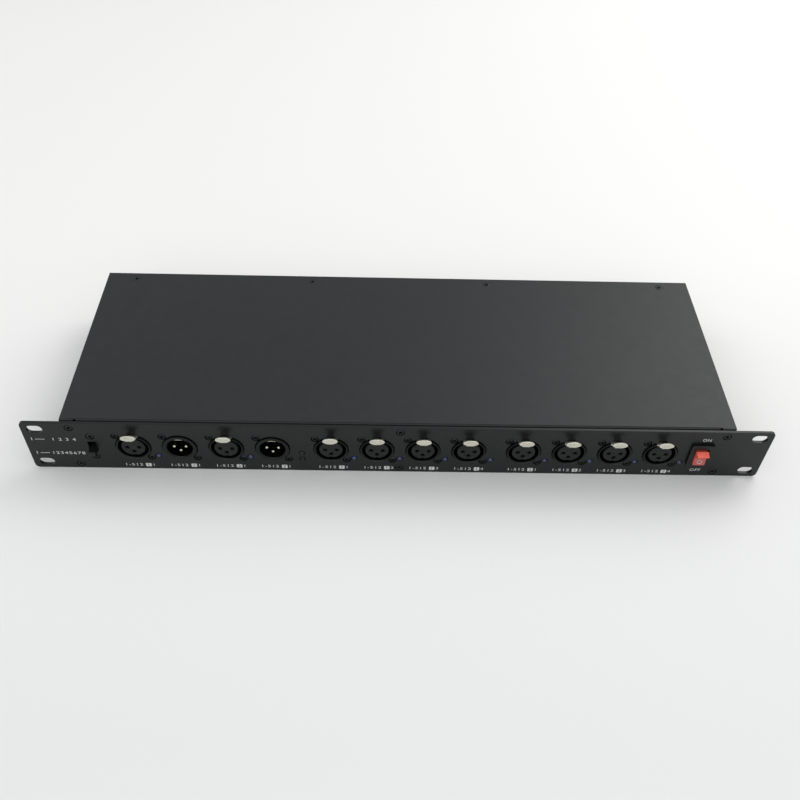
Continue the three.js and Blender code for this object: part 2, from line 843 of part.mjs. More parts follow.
// Main board with the lamps on their legs and three converters
function lamp(x, z) {
  const radius = ledDiameter / 2;
  const tip = panelFront - ledProud;
  const dome = radius * Math.SQRT1_2;
  const back = boardFront + ledLegThickness;
  const body = turned(
    [
      [0, tip],
      [dome, tip + radius - dome],
      [radius, tip + radius],
      [radius, back],
      [0, back],
    ],
    lampSides,
  ).translate([x, 0, z]);
  const leg = block(
    [x - ledLegWidth / 2, x + ledLegWidth / 2],
    [boardFront, back + 2 * ledLegThickness],
    [boardBottom + boardThickness / 2, z],
  );
  return joined(body, leg);
}

function mainBoard() {
  const board = block([boardLeft, boardRight], [boardFront, boardBack], [boardBottom, boardTop]);
  const lamps = femaleIndexes.map((index) =>
    lamp(socketX(index) + socketPitch / 2, socketHeightUp - ledDrop),
  );
  const indicators = indicatorDrops.map((drop) => lamp(indicatorX, socketHeightUp - drop));
  const converters = Array.from({ length: groupCount }, (_, group) => {
    const first = socketX(group * socketsInGroup);
    const last = socketX(group * socketsInGroup + socketsInGroup - 1);
    const middle = (first + last) / 2;
    return block(
      [middle - converterWidth / 2, middle + converterWidth / 2],
      [boardBack - converterDepth - standoffEdge, boardBack - standoffEdge],
      [boardTop - boardThickness / 2, boardTop + converterHeight],
    );
  });
  return joined(board, ...lamps, ...indicators, ...converters);
}
addPiece("main_board", mainBoard(), materials.board);

// Power supply board with its capacitor, and the transformer on it
function supplyBoard() {
  const board = block([supplyLeft, supplyRight], [supplyFront, supplyBack], [boardBottom, boardTop]);
  const capacitor = post(
    capacitorDiameter / 2,
    boardTop - boardThickness / 2,
    boardTop + capacitorHeight,
    screwSides,
    supplyLeft + partMargin + capacitorDiameter / 2,
    supplyFront + partMargin + capacitorDiameter / 2,
  );
  return joined(board, capacitor);
}
addPiece("power_supply_board", supplyBoard(), materials.board);

function transformer() {
  const middleX = supplyRight - partMargin - coreWidth / 2;
  const middleY = (supplyFront + supplyBack) / 2;
  const core = block(
    [middleX - coreWidth / 2, middleX + coreWidth / 2],
    [middleY - coreDepth / 2, middleY + coreDepth / 2],
    [boardTop, boardTop + coreHeight],
  );
  const windingOutline = roundedRectangle(windingWidth, windingHeight, partMargin);
  const winding = slab(
    moved(windingOutline, middleX, boardTop + coreHeight / 2),
    middleY - windingDepth / 2,
    middleY + windingDepth / 2,
  );
  return joined(core, winding);
}
addPiece("transformer", transformer(), materials.core);

// Mode slide switch
const modePocket = [
  [modeX - modeWindowWidth / 2, modeX + modeWindowWidth / 2],
  [socketHeightUp - modeWindowHeight / 2, socketHeightUp + modeWindowHeight / 2],
];

function modeSwitchBody() {
  const frameHeight = modeScrewSpacing + 2 * modeFrameEdge + screwShank;
  const frame = block(
    [modeX - modeFrameWidth / 2, modeX + modeFrameWidth / 2],
    [0, modeFrameThickness],
    [socketHeightUp - frameHeight / 2, socketHeightUp + frameHeight / 2],
  );
  const casing = block(
    [modeX - modeWindowWidth / 2 - modeCaseWall, modeX + modeWindowWidth / 2 + modeCaseWall],
    [modeFrameThickness / 2, modeFrameThickness + modeCaseDepth],
    [socketHeightUp - modeCaseHeight / 2, socketHeightUp + modeCaseHeight / 2],
  );
  const pocket = block(modePocket[0], [-overrun, modePocketDepth], modePocket[1]);
  const holes = modeScrewHeights.map((z) =>
    rod(screwShank / 2 + sinkGap, -overrun, modeFrameThickness + overrun, smallSides, modeX, z),
  );
  return cut(joined(frame, casing), pocket, ...holes);
}
addPiece("mode_switch_body", modeSwitchBody(), materials.shell);

function modeSlider() {
  const half = modeWindowWidth / 2 - fitGap;
  const tip = half - knobTaper;
  const front = panelFront - knobProud;
  const back = modePocketDepth - fitGap;
  const bottom = modePocket[1][0] + fitGap;
  const outline = [
    [back, bottom],
    [back, bottom + knobHeight],
    [front + knobTaper, bottom + knobHeight],
    [front, bottom + knobHeight - knobTaper],
    [front, bottom + knobTaper],
    [front + knobTaper, bottom],
  ];
  const knob = bar(outline, modeX - half, modeX + half);
  const sides = [-1, 1].map((side) => {
    const flank = [
      [0, front - overrun],
      [knobTaper + overrun, front - overrun],
      [knobTaper + overrun, panelFront - knobTaper],
      [knobTaper, panelFront - knobTaper],
    ];
    const shape = new THREE.Shape(
      flank.map(([inset, y]) => new THREE.Vector2(modeX + side * (tip + inset), y)),
    );
    const depth = panelHeight;
    return solid(new THREE.ExtrudeGeometry(shape, { depth, bevelEnabled: false }));
  });
  return cut(knob, ...sides);
}
addPiece("mode_slider", modeSlider(), materials.plastic);

// Power rocker switch
const rockerAxisY = panelFront;
const rockerHalf = rockerFace / 2;
const rockerLean = bezelProud + rockerHalf * Math.sin(rockerTilt);
const rockerOpening = rockerHalf * Math.cos(rockerTilt) + rockerLean * Math.tan(rockerTilt) + rockerGap;
const rockerBack = rockerAxisY + rockerDepth;

function powerSwitchBody() {
  const middle = socketHeightUp;
  const bezel = slab(
    moved(roundedRectangle(bezelWidth, bezelHeight, bezelRadius), powerX, middle),
    panelFront - bezelProud,
    panelFront,
  );
  const bodyHalf = [bezelWidth / 2 - bezelLip, bezelHeight / 2 - bezelLip];
  const casing = block(
    [powerX - bodyHalf[0], powerX + bodyHalf[0]],
    [panelFront - bezelProud / 2, powerBodyDepth],
    [middle - bodyHalf[1], middle + bodyHalf[1]],
  );
  const cavity = block(
    [powerX - rockerWidth / 2 - rockerGap, powerX + rockerWidth / 2 + rockerGap],
    [panelFront - bezelProud - overrun, rockerBack + rockerCavityFloor],
    [middle - rockerOpening, middle + rockerOpening],
  );
  const pinHole = crossBar(
    rockerPin / 2 + rockerGap,
    powerX - rockerWidth / 2 - rockerPinReach - rockerGap,
    powerX + rockerWidth / 2 + rockerPinReach + rockerGap,
    smallSides,
    rockerAxisY,
    middle,
  );
  const tabs = [-powerTabSpacing / 2, powerTabSpacing / 2].map((drop) =>
    block(
      [powerX - powerTabWidth / 2, powerX + powerTabWidth / 2],
      [powerBodyDepth - overrun, powerBodyDepth + powerTabLength],
      [middle + drop - powerTabThickness / 2, middle + drop + powerTabThickness / 2],
    ),
  );
  return cut(joined(bezel, casing, ...tabs), cavity, pinHole);
}
addPiece("power_switch_body", powerSwitchBody(), materials.plastic);

// The rocker lies tilted to its off side: its lower end is pressed in and its upper end stands out.
function powerRocker() {
  const endBack = -rockerReach + rockerEndDepth;
  const end = (sign) => [
    [-rockerReach, sign * rockerHalf],
    [endBack, sign * rockerHalf],
    [endBack + rockerShoulder, sign * rockerWaist],
    [rockerDepth / 2, sign * rockerStem],
    [rockerDepth, (sign * rockerStem) / 2],
  ];
  const profile = [[-rockerReach + rockerDish, 0], ...end(1), ...end(-1).reverse()];
  const body = bar(profile, -rockerWidth / 2, rockerWidth / 2);
  const reach = rockerWidth / 2 + rockerPinReach;
  const pins = crossBar(rockerPin / 2, -reach, reach, smallSides, 0, 0);
  return joined(body, pins).rotate([THREE.MathUtils.radToDeg(rockerTilt), 0, 0]);
}
addPiece("power_rocker", powerRocker(), materials.rocker, powerX, rockerAxisY, socketHeightUp);

// Mains inlet: flange and body in the rear wall, with the plug's recess above the fuse drawer
const inletBack = chassisDepth + inletProud;
const inletTop = inletMiddle + inletHeight / 2;
const inletBottom = inletMiddle - inletHeight / 2;
const recessMiddle = inletTop - socketTopMargin - socketHeight / 2;
const drawerMiddle = inletBottom + drawerBottomMargin + drawerHeight / 2;
const blades = [
  { name: "earth", x: 0, z: bladeOffset / 2 },
  { name: "line", x: bladeSpacing / 2, z: -bladeOffset / 2 },
  { name: "neutral", x: -bladeSpacing / 2, z: -bladeOffset / 2 },
];

function bladeBlock({ x, z }, growth, front, back) {
  const across = bladeWidth / 2 + growth;
  const up = bladeHeight / 2 + growth;
  const middle = [inletX + x, recessMiddle + z];
  const [x0, z0] = middle;
  return block([x0 - across, x0 + across], [front, back], [z0 - up, z0 + up]);
}

function inletHousing() {
  const flange = slab(
    moved(roundedRectangle(inletWidth, inletHeight, inletRadius), inletX, inletMiddle),
    chassisDepth,
    inletBack,
  );
  const bodyFront = chassisDepth - inletBodyDepth;
  const body = block(
    [inletX - inletWidth / 2 + inletLip, inletX + inletWidth / 2 - inletLip],
    [bodyFront, chassisDepth + overrun],
    [inletBottom + inletLip, inletTop - inletLip],
  );
  const half = [socketWidth / 2, socketHeight / 2];
  const recess = slab(
    moved(
      [
        [-half[0], -half[1]],
        [half[0], -half[1]],
        [half[0], half[1] - socketChamfer],
        [half[0] - socketChamfer, half[1]],
        [-half[0] + socketChamfer, half[1]],
        [-half[0], half[1] - socketChamfer],
      ],
      inletX,
      recessMiddle,
    ),
    inletBack - socketDepth,
    inletBack + overrun,
  );
  const drawerPocket = block(
    [inletX - drawerWidth / 2 - fitGap, inletX + drawerWidth / 2 + fitGap],
    [inletBack - drawerDepth - fitGap, inletBack + overrun],
    [drawerMiddle - drawerHeight / 2 - fitGap, drawerMiddle + drawerHeight / 2 + fitGap],
  );
  const bladeHoles = blades.map((blade) =>
    bladeBlock(blade, fitGap, bodyFront - overrun, inletBack - socketDepth + overrun),
  );
  return cut(joined(flange, body), recess, drawerPocket, ...bladeHoles);
}
addPiece("inlet_housing", inletHousing(), materials.plastic);

blades.forEach((blade) => {
  const front = chassisDepth - inletBodyDepth - bladeTail;
  const body = bladeBlock(blade, 0, front, inletBack - socketDepth + bladeLength);
  addPiece(`inlet_pin_${blade.name}`, body, materials.nickel);
});

// Fuse drawer: a face with a finger groove, two rails and an end plate, with the fuse between the rails
function fuseDrawer() {
  const front = inletBack - drawerDepth;
  const up = drawerHeight / 2;
  const across = drawerWidth / 2;
  const face = block([-across, across], [inletBack - drawerFace, inletBack + drawerProud], [-up, up]);
  const groove = block(
    [-across / 2, across / 2],
    [inletBack - drawerGripDepth, inletBack + drawerProud + overrun],
    [-up - overrun, -up + drawerGripDepth],
  );
  const rails = [-1, 1].map((side) => {
    const edges = [side * across, side * (across - drawerWall)];
    return block([Math.min(...edges), Math.max(...edges)], [front, inletBack], [-up, up]);
  });
  const plate = block([-across, across], [front, front + drawerWall], [-up, up]);
  return cut(joined(face, ...rails, plate), groove);
}
addPiece("fuse_drawer", fuseDrawer(), materials.plastic, inletX, 0, drawerMiddle);

const fuseY = inletBack - (drawerFace + drawerDepth - drawerWall) / 2;
const fuseHalf = drawerWidth / 2 - drawerWall - fuseEndGap;
const fuse = crossBar(fuseDiameter / 2, -fuseHalf, fuseHalf, insertSides, 0, 0);
addPiece("fuse", fuse, materials.fuse, inletX, fuseY, drawerMiddle);

export default unit;
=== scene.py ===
import math
import bpy
import bmesh
from mathutils import Matrix, Vector


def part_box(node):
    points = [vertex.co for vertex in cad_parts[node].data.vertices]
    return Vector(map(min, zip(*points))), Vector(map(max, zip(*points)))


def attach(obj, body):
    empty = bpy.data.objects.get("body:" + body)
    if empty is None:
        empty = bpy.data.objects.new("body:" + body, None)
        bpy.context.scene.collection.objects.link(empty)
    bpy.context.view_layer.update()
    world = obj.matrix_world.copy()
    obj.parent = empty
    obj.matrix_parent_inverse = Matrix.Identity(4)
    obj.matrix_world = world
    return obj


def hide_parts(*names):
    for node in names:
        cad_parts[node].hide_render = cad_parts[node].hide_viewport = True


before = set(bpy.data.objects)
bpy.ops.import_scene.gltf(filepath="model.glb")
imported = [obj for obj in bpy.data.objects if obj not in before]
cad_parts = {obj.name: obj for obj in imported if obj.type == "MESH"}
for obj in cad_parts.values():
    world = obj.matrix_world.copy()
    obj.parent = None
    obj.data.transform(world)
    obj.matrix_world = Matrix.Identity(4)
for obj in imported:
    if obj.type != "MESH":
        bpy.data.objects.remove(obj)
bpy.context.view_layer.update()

mm = 0.001
mergeGap = {"profile": 3e-6, "mesh": 2e-6, "words": 1e-6}  # metres: points that are closer become one
turnToY = (math.pi / 2, 0, 0)  # stands a primitive's own Z along -Y

# Camera: the photograph's place, solved from the panel's edges and slots
cameraView = {
    "place": (-13.163, -446.075, 463.940),
    "turn": (43.164, -1.510, -0.253),
    "lens": 39.62,
    "sensor": 36,
    "nearest": 0.01,
}
bpy.ops.object.camera_add(
    location=[value * mm for value in cameraView["place"]],
    rotation=[math.radians(value) for value in cameraView["turn"]],
)
camera = bpy.context.object
camera.data.lens = cameraView["lens"]
camera.data.sensor_width = cameraView["sensor"]
camera.data.clip_start = cameraView["nearest"]
bpy.context.scene.camera = camera
bpy.context.scene.view_settings.view_transform = "Standard"


# Small tools for the bench work
sharpAngle = 35  # degrees: an edge that turns more is rounded, and stays sharp in the shading


def clearSelection():
    if bpy.context.object and bpy.context.object.mode != "OBJECT":
        bpy.ops.object.mode_set(mode="OBJECT")
    bpy.ops.object.select_all(action="DESELECT")


def pick(piece):
    clearSelection()
    piece.select_set(True)
    bpy.context.view_layer.objects.active = piece


def nameBoth(piece, name):
    piece.name = name
    piece.data.name = name
    return piece


def settle(piece, name):  # the place and turn go into the mesh
    pick(piece)
    bpy.ops.object.transform_apply(location=True, rotation=True, scale=True)
    return nameBoth(piece, name)


def openParts(piece, kind, wanted=None):  # edit mode with the wanted faces, edges or points selected
    pick(piece)
    bpy.ops.object.mode_set(mode="EDIT")
    bpy.ops.mesh.select_mode(type=kind)
    bpy.ops.mesh.select_all(action="SELECT" if wanted is None else "DESELECT")
    if wanted is not None:
        mesh = bmesh.from_edit_mesh(piece.data)
        for part in {"FACE": mesh.faces, "EDGE": mesh.edges, "VERT": mesh.verts}[kind]:
            if wanted(part):
                part.select = True
        mesh.select_flush_mode()
        bmesh.update_edit_mesh(piece.data)


def closeParts():
    bpy.ops.object.mode_set(mode="OBJECT")


def edgeMiddle(edge):
    return (edge.verts[0].co + edge.verts[1].co) / 2


def edgeWay(edge):
    return (edge.verts[1].co - edge.verts[0].co).normalized()


def addBlock(name, low, high):  # sizes in millimetres
    middle = [(a + b) / 2 * mm for a, b in zip(low, high)]
    clearSelection()
    bpy.ops.mesh.primitive_cube_add(size=1, location=middle)
    piece = bpy.context.object
    piece.scale = [(b - a) * mm for a, b in zip(low, high)]
    return settle(piece, name)


def addRod(name, radius, front, back, sides, x=0.0, z=0.0, tip=None):  # a round bar or cone along Y
    clearSelection()
    bpy.ops.mesh.primitive_cone_add(
        vertices=sides,
        radius1=(radius if tip is None else tip) * mm,
        radius2=radius * mm,
        depth=(back - front) * mm,
        location=(x * mm, (front + back) / 2 * mm, z * mm),
        rotation=(-math.pi / 2, 0, 0),
    )
    return settle(bpy.context.object, name)


def fuseMesh(gap):  # in edit mode: near points become one, and the faces look outwards
    bpy.ops.mesh.select_all(action="SELECT")
    bpy.ops.mesh.remove_doubles(threshold=gap)
    bpy.ops.mesh.normals_make_consistent(inside=False)


def turnProfile(name, profile, sides):  # [radius, y] points about Y, from one ring of edges to the next
    least = 1e-3  # a ring so small that it closes to a point on the axis
    radius, depth = max(profile[0][0], least), profile[0][1]
    clearSelection()
    bpy.ops.mesh.primitive_circle_add(
        vertices=sides, radius=radius * mm, location=(0, depth * mm, 0), rotation=turnToY
    )
    piece = settle(bpy.context.object, name)
    openParts(piece, "EDGE")
    for nextRadius, nextDepth in profile[1:]:
        nextRadius = max(nextRadius, least)
        move = (0, (nextDepth - depth) * mm, 0)
        bpy.ops.mesh.extrude_edges_move(TRANSFORM_OT_translate={"value": move})
        ratio = nextRadius / radius
        bpy.ops.transform.resize(value=(ratio, 1, ratio), center_override=(0, nextDepth * mm, 0))
        radius, depth = nextRadius, nextDepth
    fuseMesh(mergeGap["profile"])
    closeParts()
    return piece


def bevelEdges(piece, width, segments, wanted):
    openParts(piece, "EDGE", wanted)
    bpy.ops.mesh.bevel(offset=width * mm, segments=segments, affect="EDGES")
    closeParts()


def joinPieces(first, *others):
    pick(first)
    for other in others:
        other.select_set(True)
    bpy.ops.object.join()
    return first


def combine(piece, other, operation="DIFFERENCE"):  # the other piece is used up
    pick(piece)
    modifier = piece.modifiers.new("combine", "BOOLEAN")
    modifier.operation = operation
    modifier.solver = "EXACT"
    modifier.use_self = operation == "DIFFERENCE"
    modifier.object = other
    bpy.ops.object.modifier_apply(modifier="combine")
    bpy.data.objects.remove(other)
    return piece


def roundEdges(piece, width):
    pick(piece)
    modifier = piece.modifiers.new("edges", "BEVEL")
    modifier.width = width * mm
    modifier.segments = 2
    modifier.limit_method = "ANGLE"
    modifier.angle_limit = math.radians(sharpAngle)
    modifier.use_clamp_overlap = True
    modifier.harden_normals = False
    bpy.ops.object.modifier_apply(modifier="edges")
    return piece


def smooth(piece, angle=sharpAngle):  # smooth, with the large flat faces kept flat
    pick(piece)
    bpy.ops.object.shade_smooth_by_angle(angle=math.radians(angle))
    modifier = piece.modifiers.new("flats", "WEIGHTED_NORMAL")
    modifier.keep_sharp = True
    bpy.ops.object.modifier_apply(modifier="flats")
    return piece


def movedCopy(piece, name, x=0.0, y=0.0, z=0.0, turn=None):
    copy = piece.copy()
    copy.data = piece.data.copy()
    bpy.context.scene.collection.objects.link(copy)
    if turn is not None:
        copy.data.transform(turn)
    copy.data.transform(Matrix.Translation((x * mm, y * mm, z * mm)))
    return nameBoth(copy, name)


def placePiece(piece, material, slotName, body, *stoodFor):
    piece.data.materials.clear()
    piece.data.materials.append(material)
    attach(piece, body)
    if stoodFor:
        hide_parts(*stoodFor)
    return piece


def refinedCopy(nodeName, name, width, reshape=None):  # a CAD node, merged and softened
    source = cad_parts[nodeName]
    copy = source.copy()
    copy.data = source.data.copy()
    for key in list(copy.keys()):
        del copy[key]
    copy.parent = None
    copy.matrix_world = Matrix.Identity(4)
    bpy.context.scene.collection.objects.link(copy)
    nameBoth(copy, name)
    openParts(copy, "VERT")
    bpy.ops.mesh.remove_doubles(threshold=mergeGap["mesh"])
    bpy.ops.mesh.tris_convert_to_quads(face_threshold=math.radians(1), shape_threshold=math.radians(120))
    closeParts()
    if reshape:
        reshape(copy)
    return smooth(roundEdges(copy, width))


# Materials

def linear(code):  # an sRGB hex colour as linear light
    parts = [int(code[i:i + 2], 16) / 255 for i in (1, 3, 5)]
    return tuple(p / 12.92 if p <= 0.04045 else ((p + 0.055) / 1.055) ** 2.4 for p in parts) + (1.0,)


def grain(size):  # the texture scale that gives spots of so many millimetres
    return 1 / (size * mm)


def addNode(material, kind, settings=None, **links):
    node = material.node_tree.nodes.new(kind)
    for name, value in (settings or {}).items():
        if name in node.inputs:
            node.inputs[name].default_value = value
        else:
            setattr(node, name, value)
    for name, source in links.items():
        socket = next(s for s in node.inputs if s.enabled and s.name.replace(" ", "") == name)
        material.node_tree.links.new(source, socket)
    return node


def shaderOf(material):
    return material.node_tree.nodes["Principled BSDF"]


def startMaterial(name, **values):
    material = bpy.data.materials.new(name)
    material.use_nodes = True
    shader = shaderOf(material)
    for key, value in values.items():
        socket = next(s for s in shader.inputs if s.name.replace(" ", "") == key)
        socket.default_value = value
    return material


def linkTo(material, source, name):
    material.node_tree.links.new(source, shaderOf(material).inputs[name])


def mixColours(material, source, low, high, dark, light):  # dark where the source is low, light where high
    share = addNode(material, "ShaderNodeMapRange", {"From Min": low, "From Max": high}, Value=source)
    mix = addNode(material, "ShaderNodeMix", {"data_type": "RGBA"}, Factor=share.outputs["Result"])
    colours = [s for s in mix.inputs if s.enabled and s.type == "RGBA"]
    colours[0].default_value = linear(dark)
    colours[1].default_value = linear(light)
    linkTo(material, next(s for s in mix.outputs if s.enabled), "Base Color")


def addNoise(material, place, size, detail):
    settings = {"Scale": grain(size), "Detail": detail}
    return addNode(material, "ShaderNodeTexNoise", settings, Vector=place).outputs["Fac"]


noiseRange = (0.35, 0.65)  # most of a noise texture's values


def addColours(material, place, size, dark, light):
    mixColours(material, addNoise(material, place, size, 3.0), *noiseRange, dark, light)


def addRoughness(material, place, size, low, high):
    noise = addNoise(material, place, size, 2.0)
    settings = {"From Min": noiseRange[0], "From Max": noiseRange[1], "To Min": low, "To Max": high}
    share = addNode(material, "ShaderNodeMapRange", settings, Value=noise)
    linkTo(material, share.outputs["Result"], "Roughness")


def addRelief(material, place, size, height, strength):
    noise = addNoise(material, place, size, 2.0)
    settings = {"Strength": strength, "Distance": height * mm}
    bump = addNode(material, "ShaderNodeBump", settings, Height=noise)
    linkTo(material, bump.outputs["Normal"], "Normal")


def objectPlace(material, stretch=None):
    place = addNode(material, "ShaderNodeTexCoord").outputs["Object"]
    if stretch:
        place = addNode(material, "ShaderNodeMapping", {"Scale": stretch}, Vector=place).outputs["Vector"]
    return place


# colours: spot size in mm, dark, light; rough: spot size, low, high; relief: spot size, height in mm, strength
def makeSurface(name, colours, rough, relief=None, stretch=None, **values):
    material = startMaterial(name, **values)
    place = objectPlace(material, stretch)
    addColours(material, place, *colours)
    addRoughness(material, place, *rough)
    if relief:
        addRelief(material, place, *relief)
    return material


def letLightIn(material, radius, scale):  # light that enters scatters this far, in metres, before it leaves
    shaderOf(material).inputs["Subsurface Radius"].default_value = radius
    shaderOf(material).inputs["Subsurface Scale"].default_value = scale


# Powder-coated steel sheet: a dull satin grey with the coat's fine orange peel
powderCoat = makeSurface(
    "powderCoatedSteel",
    colours=(8, "#1b1d20", "#1d2022"),
    rough=(5, 0.46, 0.49),
    relief=(0.8, 0.02, 0.35),
    IOR=1.5,
    SpecularIORLevel=0.36,
)

# Anodised aluminium panel: smoother and darker than the coat, with a soft gloss
anodised = makeSurface(
    "blackAnodisedAluminium",
    colours=(6, "#131516", "#161819"),
    rough=(4, 0.32, 0.36),
    relief=(0.5, 0.01, 0.25),
    IOR=1.5,
    SpecularIORLevel=0.28,
)

# Die-cast zinc with black plating: glossy, with soft casting marks
blackZinc = makeSurface(
    "blackPlatedZinc",
    colours=(6, "#030404", "#080909"),
    rough=(4, 0.26, 0.34),
    relief=(0.6, 0.02, 0.2),
    IOR=1.5,
    SpecularIORLevel=0.24,
)

# Glass-filled nylon insert: matt, with a fine moulded grain
nylon = makeSurface(
    "blackGlassFilledNylon",
    colours=(3, "#111313", "#171919"),
    rough=(2, 0.48, 0.62),
    relief=(0.25, 0.02, 0.3),
    IOR=1.53,
    SpecularIORLevel=0.26,
)

# Nickel-plated pressed steel: bright satin with faint brush lines across the tab
nickel = makeSurface(
    "satinNickelPlate",
    colours=(0.4, "#c2c0b2", "#d6d4c8"),
    rough=(0.3, 0.30, 0.46),
    relief=(0.35, 0.01, 0.25),
    stretch=(0.12, 1.0, 1.0),
    Metallic=0.9,
    IOR=1.5,
)

# Tin-plated brass contacts, warm and fairly bright
contactPlate = makeSurface(
    "tinPlatedBrass",
    colours=(1.2, "#b9b59c", "#d2cfb8"),
    rough=(0.8, 0.16, 0.26),
    relief=(0.3, 0.01, 0.15),
    Metallic=1.0,
    IOR=1.5,
)

# Black-oxide screw steel with an oily sheen, paler in spots where a driver has rubbed
blackOxide = makeSurface(
    "blackOxideSteel",
    colours=(1.5, "#1b1d1e", "#2e3032"),
    rough=(1.0, 0.26, 0.40),
    relief=(0.3, 0.01, 0.2),
    Metallic=0.45,
    IOR=1.5,
)

# Injection-moulded black polycarbonate of the switches and the inlet
polycarbonate = makeSurface(
    "blackPolycarbonate",
    colours=(8, "#0b0c0c", "#101111"),
    rough=(5, 0.32, 0.44),
    relief=(0.4, 0.015, 0.25),
    IOR=1.58,
    SpecularIORLevel=0.24,
)

# Red translucent polycarbonate rocker, which glows a little where light enters its end
redGlow = {"radius": (0.004, 0.0008, 0.0006), "scale": 0.5}
redRocker = makeSurface(
    "redTranslucentPolycarbonate",
    colours=(5, "#f0604f", "#f97463"),
    rough=(3, 0.26, 0.36),
    relief=(0.5, 0.01, 0.15),
    IOR=1.58,
    SubsurfaceWeight=0.2,
)
letLightIn(redRocker, **redGlow)

# The rocker's two pressing faces: a matt finish, with a darker red than its polished ends as painted shade
rockerShadedFaces = makeSurface(
    "redPolycarbonatePaintedShade",
    colours=(4, "#a84c47", "#b85550"),
    rough=(2, 0.38, 0.5),
    relief=(0.3, 0.015, 0.3),
    IOR=1.58,
    SubsurfaceWeight=0.1,
)
letLightIn(rockerShadedFaces, **redGlow)

# Epoxy of the lamps: blue with a clear gloss, and two dark ones for the indicators
blueEpoxy = makeSurface(
    "blueTintedEpoxy",
    colours=(1.2, "#0f1644", "#1c2764"),
    rough=(1.0, 0.12, 0.22),
    IOR=1.55,
    SubsurfaceWeight=0.2,
    SubsurfaceScale=0.001,
    CoatWeight=0.6,
)
clearEpoxy = makeSurface(
    "waterClearEpoxy",
    colours=(1.0, "#0b0c0d", "#141617"),
    rough=(1.0, 0.2, 0.3),
    IOR=1.55,
    SpecularIORLevel=0.3,
)
smokedEpoxy = makeSurface(
    "smokedEpoxy",
    colours=(1.0, "#050606", "#0d0e0f"),
    rough=(1.0, 0.2, 0.3),
    IOR=1.55,
    SpecularIORLevel=0.3,
)

# Matt near-black paint on thin cones in the countersinks: painted shade in the gaps round the screw heads
sinkShadePaint = makeSurface(
    "paintedCountersinkShade",
    colours=(1.2, "#040404", "#090909"),
    rough=(1.0, 0.6, 0.75),
    IOR=1.45,
    SpecularIORLevel=0.1,
)

# Screen-printed white ink: matt, a touch thin in spots
whiteInk = makeSurface(
    "screenPrintedInk",
    colours=(0.7, "#b4b7b7", "#d4d6d6"),
    rough=(0.8, 0.55, 0.7),
    IOR=1.45,
    SpecularIORLevel=0.3,
)

# Solder-masked glass-epoxy board
boardLaminate = makeSurface(
    "solderMaskedLaminate",
    colours=(3, "#1f4a31", "#2c6142"),
    rough=(2, 0.3, 0.45),
    relief=(0.6, 0.02, 0.3),
    IOR=1.5,
    SpecularIORLevel=0.5,
)

# Stacked silicon-steel laminations with a varnished winding: its layers lie across Y
coreSteel = startMaterial("siliconSteelLaminations", Metallic=0.7, IOR=1.5)
layers = objectPlace(coreSteel, (1.0, 6.0, 1.0))
addColours(coreSteel, layers, 3, "#4a4843", "#7c7870")
addRoughness(coreSteel, objectPlace(coreSteel), 2, 0.4, 0.6)
addRelief(coreSteel, layers, 2, 0.05, 0.4)

# Glass tube of the fuse
glassTube = makeSurface(
    "clearGlassTube",
    colours=(3, "#c3cacd", "#d8dee0"),
    rough=(3, 0.04, 0.1),
    IOR=1.5,
    TransmissionWeight=0.6,
)
print("materials ready")


# Front panel: a 2 mm plate with rounded corners and every hole round
panelPlate = {
    "cornerRadius": 3,
    "edge": 0.22,
    "chamfer": 0.09,
    "holeRadius": 11.55,
    "lampHole": 2.05,
    "slot": (10.2, 6.8),
    "slotInset": 8.75,
    "slotHeights": (6.125, 37.875),
    "screwOffset": 10.15,
    "screwHole": 2.7,
    "lampOffset": (15, -8.5),
    "indicatorHeights": (17.9, 12.1),
    "modeScrewRise": 9.5,
    "modeWindow": (2.8, 4.7),
    "powerWindow": (6.9, 9.8),
}
screwSink = {"hole": 1.8, "tip": 1.71, "depth": 1.6, "mouth": 3.6}
past = 1  # how far a cutter reaches beyond what it cuts


def frontMiddle(nodeName):  # a node's middle across and up, in millimetres
    low, high = [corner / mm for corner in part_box(nodeName)]
    return ((low.x + high.x) / 2, (low.z + high.z) / 2)


panelLow, panelHigh = [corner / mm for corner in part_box("front_panel")]
panelFront = panelLow.y
panelBack = panelHigh.y
socketPlaces = {}
for index in range(1, 13):
    low, high = [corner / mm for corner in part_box(f"socket_{index:02d}_shell")]
    socketPlaces[index] = ((low.x + high.x) / 2, high.z - (high.x - low.x) / 2)
maleOnes = [2, 4]
femaleOnes = [index for index in socketPlaces if index not in maleOnes]
lampAcross, lampUp = panelPlate["lampOffset"]
lampPlaces = [(socketPlaces[index][0] + lampAcross, socketPlaces[index][1] + lampUp) for index in femaleOnes]
indicatorX = (socketPlaces[4][0] + socketPlaces[5][0]) / 2
indicatorPlaces = [(indicatorX, z) for z in panelPlate["indicatorHeights"]]
panelScrews = {}
for row in ("top", "bottom"):
    for side in ("left", "middle", "right"):
        panelScrews[f"{row}_{side}"] = frontMiddle(f"panel_screw_{row}_{side}")
modeX, modeZ = frontMiddle("mode_switch_body")
modeScrews = [(modeX, modeZ + rise) for rise in (panelPlate["modeScrewRise"], -panelPlate["modeScrewRise"])]
socketScrews = {}
for index, (x, z) in socketPlaces.items():
    for side, place in ((-1, "upper"), (1, "lower")):
        offset = panelPlate["screwOffset"] * side
        socketScrews[f"{index:02d}_{place}"] = (x + offset, z - offset)
powerX, powerZ = frontMiddle("power_switch_body")


def isUpright(edge):
    return abs(edgeWay(edge).y) > 0.9


def addWindow(x, z, halves):  # a cutter for a window in the panel
    across, up = halves
    return addBlock("cutter", (x - across, panelFront - past, z - up), (x + across, panelBack + past, z + up))


